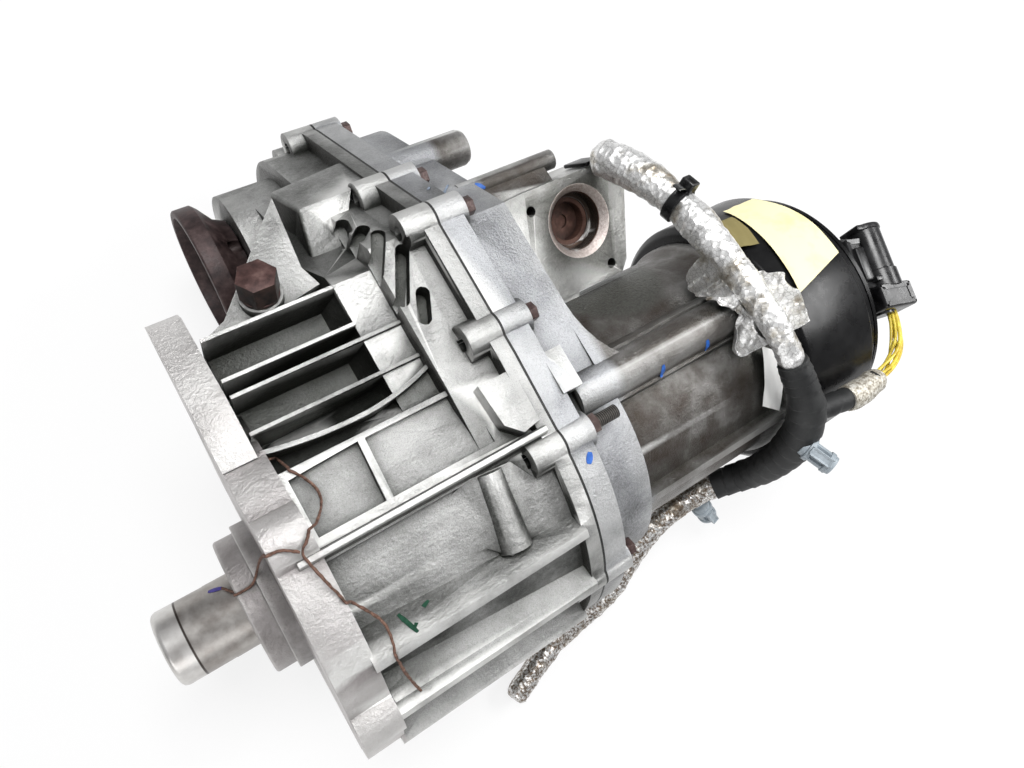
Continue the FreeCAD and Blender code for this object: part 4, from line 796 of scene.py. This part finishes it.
black_plastic = plain_surface("black_plastic", (0.004, 0.004, 0.0045), (0.02, 0.02, 0.021), 0.26, 90, 0.15)
band = turned("tie_band", [(4.5, 11.6), (4.9, 12.3), (5.2, 12.6), (11.2, 12.6), (11.5, 12.3), (11.9, 11.6)],
              48, False)
apply_modifier(band, "SOLIDIFY", thickness=0.0013, offset=-1)
lock = moulded("tie_lock", (8.5, -4.5, 3.2), (17.5, 4.5, 12.8), 1.0)
sink_faces(lock, lambda spot, normal: normal.x > 0.9 and spot.x > 16, 1.6, 1.4)
TAIL_ROOT = 0.0035
TAIL_WAVE = 0.004
tail = moulded("tie_tail", (11.5, 3.5, 5.4), (12.8, 19.0, 10.6), 0.4)
only(tail)
edit_all()
bpy.ops.mesh.subdivide(number_cuts=5)
bpy.ops.object.mode_set(mode="OBJECT")
for vertex in tail.data.vertices:
    vertex.co.x += TAIL_WAVE * math.sin(max(0.0, vertex.co.y - TAIL_ROOT) * 110)
tie = joined("sleeve_tie", [band, lock, tail])
lay(tie, at(306.7, 91.5, 104.5), at(309.4, 77.5, 107.9), Vector((0.35, -0.15, 0.9)))
smooth_below(tie, MOULDED_ANGLE)
set_piece(tie, black_plastic, ["harness_tie"])
harness_piece("foil_sleeve_upper", upper_route, foil_radius(UPPER_RADII), 72, 0.0011, foil,
              "harness_upper", 0.002)


# Heat shield over the ridge of the tail: one sheet of soft foil pressed over what lies under it, its
# border curled and torn.
def surface_tree(pieces):
    """Search tree over the faces of all these pieces."""
    points = []
    faces = []
    for piece in pieces:
        first = len(points)
        points.extend(vertex.co.copy() for vertex in piece.data.vertices)
        faces.extend([first + index for index in polygon.vertices] for polygon in piece.data.polygons)
    return BVHTree.FromPolygons(points, faces)


def flat_sheet(name, steps):
    """Square from -1 to 1, to be bent into a sheet."""
    bpy.ops.object.select_all(action="DESELECT")
    bpy.ops.mesh.primitive_grid_add(x_subdivisions=steps, y_subdivisions=steps, size=2, location=(0, 0, 0))
    return named_new(name)


# The border's reach in mm by its bearing in degrees, and how the sheet is laid: it hangs under the
# sleeve where that passes within SLEEVE_HOLD, and rests on the castings elsewhere.
FLAP_OUTLINE = [(-180, 27), (-161, 29), (-147, 23), (-136, 28), (-125, 42), (-115, 45), (-98, 38), (-85, 41),
                (-70, 44), (-57, 48.6), (-42, 41.7), (-26, 35.1), (1, 24.5), (49, 16), (80, 18), (110, 26),
                (126, 33), (142, 27), (156, 24), (180, 27)]
FLAP_STEPS = 100
FLAP_CENTRE = at(323, 20, 0)
SLEEVE_HOLD = 0.0075
SLEEVE_DROP = 0.0105
NO_GROUND = 0.07
RAY_START = 0.2
SETTLE_ROUNDS = 70
SHEET_GAP = 0.0008
SAG = 0.00004
ground_tree = surface_tree([rear_half, drum])
sleeve_line = smooth_line(upper_route)
flap = flat_sheet("heat_foil_sheet", FLAP_STEPS)
grid = {}
for vertex in flap.data.vertices:
    u, v = vertex.co.x, vertex.co.y
    key = (round((u + 1) * FLAP_STEPS / 2), round((v + 1) * FLAP_STEPS / 2))
    across = u * math.sqrt(1 - v * v / 2)
    along_y = v * math.sqrt(1 - u * u / 2)
    bearing = math.atan2(along_y, across)
    reach = stepped(FLAP_OUTLINE, math.degrees(bearing)) / 1000 + 0.0008 * math.sin(23 * bearing)
    spot = FLAP_CENTRE + Vector((across * reach, along_y * reach, 0))
    hit = ground_tree.ray_cast(Vector((spot.x, spot.y, RAY_START)), Vector((0, 0, -1)))[0]
    near = min(sleeve_line, key=lambda place: (place.xy - spot.xy).length_squared)
    held = near.z - SLEEVE_DROP if (near.xy - spot.xy).length < SLEEVE_HOLD else 0.0
    grid[key] = (vertex, spot, max(hit.z if hit else NO_GROUND, held), math.hypot(across, along_y))
heights = {key: ground + 0.001 for key, (vertex, spot, ground, out) in grid.items()}
for turn_count in range(SETTLE_ROUNDS):
    smoother = {}
    for key, (vertex, spot, ground, out) in grid.items():
        near = [heights[(key[0] + dx, key[1] + dy)] for dx, dy in ((1, 0), (-1, 0), (0, 1), (0, -1))
                if (key[0] + dx, key[1] + dy) in heights]
        smoother[key] = max(ground + SHEET_GAP, sum(near) / len(near) - SAG)
    heights = smoother
for key, (vertex, spot, ground, out) in grid.items():
    flat_spot = Vector((spot.x, spot.y, 0))
    pleat = 1 - 2.4 * abs(noise.noise(Vector((spot.x * 62 + spot.y * 20, spot.y * 42, 0.3))))
    wave = 0.0065 * max(0.0, pleat) ** 1.5 + 0.0011 * noise.voronoi(flat_spot / 0.007)[0][0]
    curl = max(0.0, out - 0.8) / 0.2
    curl = 0.0045 * curl * curl * max(0.0, 0.3 + noise.noise(flat_spot * 90))
    vertex.co = Vector((spot.x, spot.y, heights[key] + wave + curl))
apply_modifier(flap, "SOLIDIFY", thickness=0.0003, offset=1)
smooth_below(flap, 28)
set_piece(flap, foil, ["heat_foil"])


# Woven end of the branch: a beige and silver braid, frayed at its mouth, from which the yellow wires
# come out.
braid_tones = [(0.38, (0.2, 0.17, 0.13)), (0.5, (0.5, 0.47, 0.4)), (0.62, (0.8, 0.78, 0.72))]
braid = clouded("woven_end", 420, 6, 0.7, braid_tones, (0.65, 0.4), 0.35, 0.6, 0.0006)
braid_route = mm([(366, -78.4, 75), (376, -79.5, 74), (386, -80, 72.7), (396, -79.4, 71.4),
                  (404, -78.8, 70.5)])
BRAID_RADII = [(0.0, 0.0084), (0.06, 0.0094), (0.5, 0.009), (0.9, 0.0078), (1.0, 0.0064)]


def braid_radius(share, angle, place, out):
    weave = 0.00035 * math.sin(22 * angle) * math.sin(140 * share)
    return stepped(BRAID_RADII, share) + weave + 0.0008 * noise.noise(place * 160 + out)


braid_end = tube_mesh("woven_sleeve_end", along(smooth_line(braid_route), 0.0006), braid_radius, 66)
smooth_below(braid_end, 40)
set_piece(braid_end, braid)


# Yellow wires of the actuator lead. A few thin wires lie side by side, twisted a little, with dark
# gaps between them, and run from the end of the taped branch into the black connector.
wire_tones = [(0.34, (0.42, 0.28, 0.02)), (0.55, (0.82, 0.66, 0.08)), (0.7, (0.9, 0.78, 0.2))]
wire = clouded("yellow_wire", 90, 5, 0.6, wire_tones, 0.36, 0.0, 0.2, 0.0002)
STRANDS = 6
STRAND_RADIUS = 0.00115
STRAND_TWIST = 2.2
lead_line = smooth_line(lead_route)
lead_frames = carried_frames(along(lead_line, 0.0014))
strands = []
for strand in range(STRANDS):
    places = []
    for index, (place, side, upward) in enumerate(lead_frames):
        share = index / (len(lead_frames) - 1)
        angle = 2 * math.pi * strand / STRANDS + STRAND_TWIST * share + 0.35 * math.sin(6 * share + strand)
        bulge = 0.0024 + 0.0013 * math.sin(math.pi * share) * (1 if strand % 2 else 0.3)
        places.append(place + (side * math.cos(angle) + upward * math.sin(angle)) * bulge)
    strands.append(tube_mesh("strand", places, lambda share, angle, place, out: STRAND_RADIUS, 12))
bundle = joined("wire_bundle", strands)
set_piece(bundle, wire, ["motor_lead"])


# Black connector of the actuator, moulded in glossy nylon: a latched block on the cover, a ribbed
# barrel that lies along it and a square collar over the wires.
CONNECTOR_PIVOT = at(456, -12, 0)
CONNECTOR_TURN = math.radians(-16)
shell_block = moulded("shell_block", (437, -28, 52), (455, 12, 75), 1.6)
sink_faces(shell_block, lambda spot, normal: normal.z > 0.9 and spot.z > 74, 3.2, 1.6)
latch = moulded("shell_latch", (441, -22, 72), (449, 4, 77), 1.4)
arm = moulded("shell_arm", (430, -16, 51), (446, 14, 71), 1.4)
barrel = turned("shell_barrel", [(0, 9.5), (0.5, 11.2), (1.2, 12.2), (2.6, 12.6), (4.4, 12.6), (5.2, 11.8),
                                 (36, 11.8), (36.8, 12.8), (50, 12.8), (51, 11)], 56)
sink_faces(barrel, lambda spot, normal: spot.z < 0.1, 2.2, 3.5)
lay(barrel, at(461, 21, 69), at(461, -30, 69), Vector((0, 0, 1)))
ribs = [moulded("shell_rib", (448, y, 60), (455, y + 4, 79), 0.7) for y in (-24, 16)]
collar = moulded("shell_collar", (445, -45.5, 55), (475, -27, 81), 2.6)
sink_faces(collar, lambda spot, normal: normal.z > 0.9 and spot.z > 80, 3.4, 1.0)
outlet = turned("shell_outlet", [(0, 8), (1, 9), (6, 9), (7, 7.6), (9, 7.2)], 36)
lay(outlet, at(455, -38, 66), at(455, -50, 66), Vector((0, 0, 1)))
connector = joined("actuator_connector", [shell_block, latch, arm, barrel, collar, outlet, *ribs])
connector.data.transform(Matrix.Translation(CONNECTOR_PIVOT) @ Matrix.Rotation(CONNECTOR_TURN, 4, "Z")
                         @ Matrix.Translation(-CONNECTOR_PIVOT))
smooth_below(connector, MOULDED_ANGLE)
set_piece(connector, black_plastic, ["motor_connector"])


# Loose connectors clipped on the harness, moulded in grey-blue nylon: a round shell with windows, an
# end cap, and a strap with teeth that holds it to the bundle.
grey_plastic = plain_surface("grey_plastic", (0.24, 0.28, 0.31), (0.4, 0.45, 0.49), 0.42, 60, 0.25)
SHELL_STATIONS = [(-1, 5), (0, 6.6), (3, 6.8), (3.6, 8.2), (6.5, 8.2), (7.1, 6.9), (17, 6.9), (17.6, 7.7),
                  (20.4, 7.7), (21, 7.0), (23, 6.6)]


def is_window(spot, normal):
    return (8 < spot.z < 16 and normal.x > 0.35 and abs(normal.y) < 0.9
            and abs(math.atan2(normal.y, normal.x)) % 0.9 > 0.22)


def loose_connector(name, node, start, end, neck, side):
    shell = turned(name + "_shell", SHELL_STATIONS, 36)
    sink_faces(shell, is_window, 0.7, 1.6)
    sink_faces(shell, lambda spot, normal: spot.z > 22.9, 1.4, 7.0)
    lay(shell, start, end, side)
    strap = moulded(name + "_strap", (-2.6, -4.2, -1), (2.6, 4.2, (start - neck).length * 1000 + 3), 0.9)
    lay(strap, neck, start, side)
    lip = moulded(name + "_lip", (5.6, -3.2, 4.5), (10.4, 3.2, 20.5), 0.8)
    sink_faces(lip, lambda spot, normal: normal.x > 0.9 and spot.x > 10, 1.1, 1.0)
    lay(lip, start, end, side)
    item = joined(name, [shell, strap, lip])
    smooth_below(item, MOULDED_ANGLE)
    set_piece(item, grey_plastic, [node])


loose_connector("clip_connector_upper", "loose_connector_upper", at(328, -90, 60), at(335, -111, 65),
                at(330, -80, 56), Vector((-0.5, -0.1, 0.85)))
loose_connector("clip_connector_lower", "loose_connector_lower", at(305, -104, -58), at(317, -119, -76),
                at(301, -95, -50), Vector((-0.4, 0.2, 0.9)))


# Note on the drum, pale yellow paper held by its lower edge over a stained lining, and a white label
# on the tail; all are left blank. They curve with what they lie on, with lifted corners and creases.
def paper(name, tone, stain):
    material, shader = node_material(name)
    place = object_place(shader)
    cloud = add_noise(place, 30, 6, 0.6)
    coat(shader, add_ramp(cloud, [(0.3, stain), (0.45, tone), (0.7, tone)]), 0.7, 0.0,
         add_noise(place, 260, 5, 0.6), 0.2, 0.0003)
    return material


PAPER_STEPS = 40
PAPER_GAP = 0.9


def curved_paper(name, corners, radius, bulge, lift, thickness, material):
    """Sheet on a cylinder about X. corners are (x in mm, angle in degrees), in order round the sheet."""
    item = flat_sheet(name, PAPER_STEPS)
    for vertex in item.data.vertices:
        u = (vertex.co.x + 1) / 2
        v = (vertex.co.y + 1) / 2
        x, degrees = [(a * (1 - u) + b * u) * (1 - v) + (d * (1 - u) + c * u) * v
                      for a, b, c, d in zip(*corners)]
        x += bulge * math.sin(math.pi * v) * u
        angle = math.radians(degrees)
        creases = 0.5 * noise.noise(Vector((u * 4, v * 4, lift)))
        rise = lift * (v ** 3 * (0.4 + 0.6 * u) + 0.35 * (1 - v) ** 3 * u) + creases
        reach = radius + PAPER_GAP + rise
        vertex.co = at(x, reach * math.cos(angle), reach * math.sin(angle))
    apply_modifier(item, "SOLIDIFY", thickness=thickness / 1000, offset=0)
    smooth_below(item, 60)
    set_piece(item, material)


DRUM_RADIUS = 95
TAIL_RADIUS = 84.6
curved_paper("blank_note", [(380, 36.5), (405, 39.2), (406, 85.2), (360.6, 91.5)], DRUM_RADIUS, 5.5, 4.0, 0.2,
             paper("note_paper", (0.93, 0.86, 0.52), (0.84, 0.74, 0.38)))
curved_paper("stained_lining", [(357, 41.7), (374, 45), (362, 66), (345, 62)], DRUM_RADIUS, 2, 1.5, 0.2,
             paper("stained_lining", (0.24, 0.2, 0.075), (0.06, 0.045, 0.02)))
curved_paper("blank_label", [(323.6, 103.4), (337.6, 111.4), (326.7, 136.6), (311.3, 128.8)], TAIL_RADIUS, 0,
             1.0, 0.15, paper("label_paper", (0.86, 0.86, 0.84), (0.7, 0.69, 0.66)))


# Paint marks left by a workshop: short strokes of blue, green, purple and grey felt pen on the metal,
# drawn by hand and partly worn off.
def felt_paint(name, colour):
    faded = tuple(value * 1.5 + 0.015 for value in colour)
    return clouded(name, 300, 5, 0.6, [(0.4, colour), (0.7, faded)], 0.45, 0.0, 0.2, 0.0002)


mark_tree = surface_tree([front_half, rear_half, retainer, shaft])
STROKE_STEPS = 10
STROKE_STRIPS = 4
STROKE_GAP = 0.00018
STROKE_THICKNESS = 0.0001


def stroke(name, width, material, points, body="case"):
    """Thin ribbon of paint that lies on the castings along given points, in mm."""
    ends = [at(*point) for point in points]
    line = [a.lerp(b, step / STROKE_STEPS) for a, b in zip(ends, ends[1:]) for step in range(STROKE_STEPS)]
    line.append(ends[-1])
    mesh = bpy.data.meshes.new(name)
    shell = bmesh.new()
    rows = []
    for index, spot in enumerate(line):
        before = line[max(index - 1, 0)]
        after = line[min(index + 1, len(line) - 1)]
        hit, normal = mark_tree.find_nearest(spot)[:2]
        across = (after - before).cross(normal).normalized()
        taper = 0.55 + 0.45 * math.sin(math.pi * (index + 0.5) / len(line))
        row = []
        for step in range(STROKE_STRIPS + 1):
            shift = (step / STROKE_STRIPS - 0.5) * width / 1000 * (taper + 0.12 * noise.noise(spot * 700))
            place, face_normal = mark_tree.find_nearest(hit + across * shift)[:2]
            row.append(shell.verts.new(place + face_normal * STROKE_GAP))
        rows.append(row)
    for row, beyond in zip(rows, rows[1:]):
        for step in range(STROKE_STRIPS):
            shell.faces.new((row[step], beyond[step], beyond[step + 1], row[step + 1]))
    shell.to_mesh(mesh)
    shell.free()
    item = linked(name, mesh)
    apply_modifier(item, "SOLIDIFY", thickness=STROKE_THICKNESS, offset=0)
    set_piece(item, material, body=body)


blue = felt_paint("blue_pen", (0.01, 0.09, 0.38))
green = felt_paint("green_pen", (0.003, 0.045, 0.022))
purple = felt_paint("purple_pen", (0.035, 0.025, 0.17))
grey = felt_paint("grey_pen", (0.16, 0.2, 0.26))
stroke("blue_mark_1", 4.0, blue, [(169.1, -22.2, 105.7), (165.6, -27.5, 104.4)])
stroke("blue_mark_2", 3.2, blue, [(243.5, 0, 96.4), (244.6, -5.6, 87)])
stroke("blue_mark_3", 3.0, blue, [(279.6, 0.2, 96.6), (282.1, -4.5, 87)])
stroke("blue_mark_4", 2.6, blue, [(215.8, 153.8, 71), (210.3, 158.1, 72.5)])
stroke("green_mark_1", 2.6, green, [(42.3, -46.7, 81.3), (45.5, -55.1, 94.9)])
stroke("green_mark_2", 2.6, green, [(58.6, -48.1, 83.5), (52, -53, 82), (45.5, -55.1, 90)])
stroke("green_mark_3", 1.8, green, [(110.7, -43.1, 92.5), (108.5, -48.9, 84.8)])
stroke("grey_mark", 2.2, grey, [(168.2, 153.7, 98.7), (180, 158, 84), (196.4, 166.3, 67)])
stroke("purple_mark", 3.0, purple, [(-33.5, 16.9, 14.8), (-29.5, 16, 15.9), (-26.2, 15, 16.7)], "input")


# String left tied round the case, thin brown twine with no plug or fitting. One length lies down the
# ribs of the bell, and a short one hangs from it to the input shaft.
twine_tones = [(0.35, (0.06, 0.03, 0.02)), (0.6, (0.17, 0.09, 0.065)), (0.75, (0.3, 0.18, 0.13))]
twine = clouded("brown_twine", 500, 4, 0.6, twine_tones, 0.85, 0.0, 0.6, 0.0005)
EASE_ROUNDS = 3
TWINE_LIFT = 0.001
TWINE_PROBE = 0.008


def twine_radius(share, angle, place, out):
    return 0.00072 + 0.00025 * noise.noise(place * 300) + 0.0001 * math.sin(3 * angle + share * 260)


def laid_over(places):
    """Lifts the twine's line out of what it would cut through, and eases it where it bends over edges."""
    for turn_count in range(EASE_ROUNDS):
        eased = [(a + b * 2 + c) / 4 for a, b, c in zip(places, places[1:], places[2:])]
        places = [places[0], *eased, places[-1]]
        for index, place in enumerate(places):
            hit = mark_tree.ray_cast(place + behind * TWINE_PROBE, -behind, TWINE_PROBE + 0.0005)[0]
            if hit:
                places[index] = hit + behind * TWINE_LIFT
    return places


def string_piece(name, points):
    route = mm([(x, y, z + 1.3) for x, y, z in points])
    line = laid_over(along(smooth_line(route), 0.0008))
    item = tube_mesh(name, line, twine_radius, 12)
    set_piece(item, twine)


string_piece("string_long",
             [(24, 67.4, 62), (26.8, 57.7, 71), (28.3, 44.4, 96.1), (33.2, 36.9, 94), (36, 29.7, 93),
              (34.3, 22.1, 96), (27.3, 14.8, 103), (18.3, 8, 114.8), (13.4, 5.2, 115), (15, -1.7, 112),
              (17.2, -9.6, 109.5), (19.4, -18.2, 107.4), (24.5, -26.5, 98), (29.6, -33.9, 92),
              (34.2, -42.8, 92), (33.1, -51.9, 94), (30.7, -61.1, 93.9), (33.2, -74.7, 78), (36.3, -83, 69)])
string_piece("string_loop",
             [(13.4, 5.2, 115.5), (8.2, 9.5, 116.4), (2.9, 11.5, 113), (-1.5, 16.1, 70), (-6.4, 11.6, 45),
              (-10.5, 7, 42), (-15.3, 6.3, 41), (-20, 8.5, 27), (-22.5, 10.2, 21.5), (-26.2, 15, 18)])
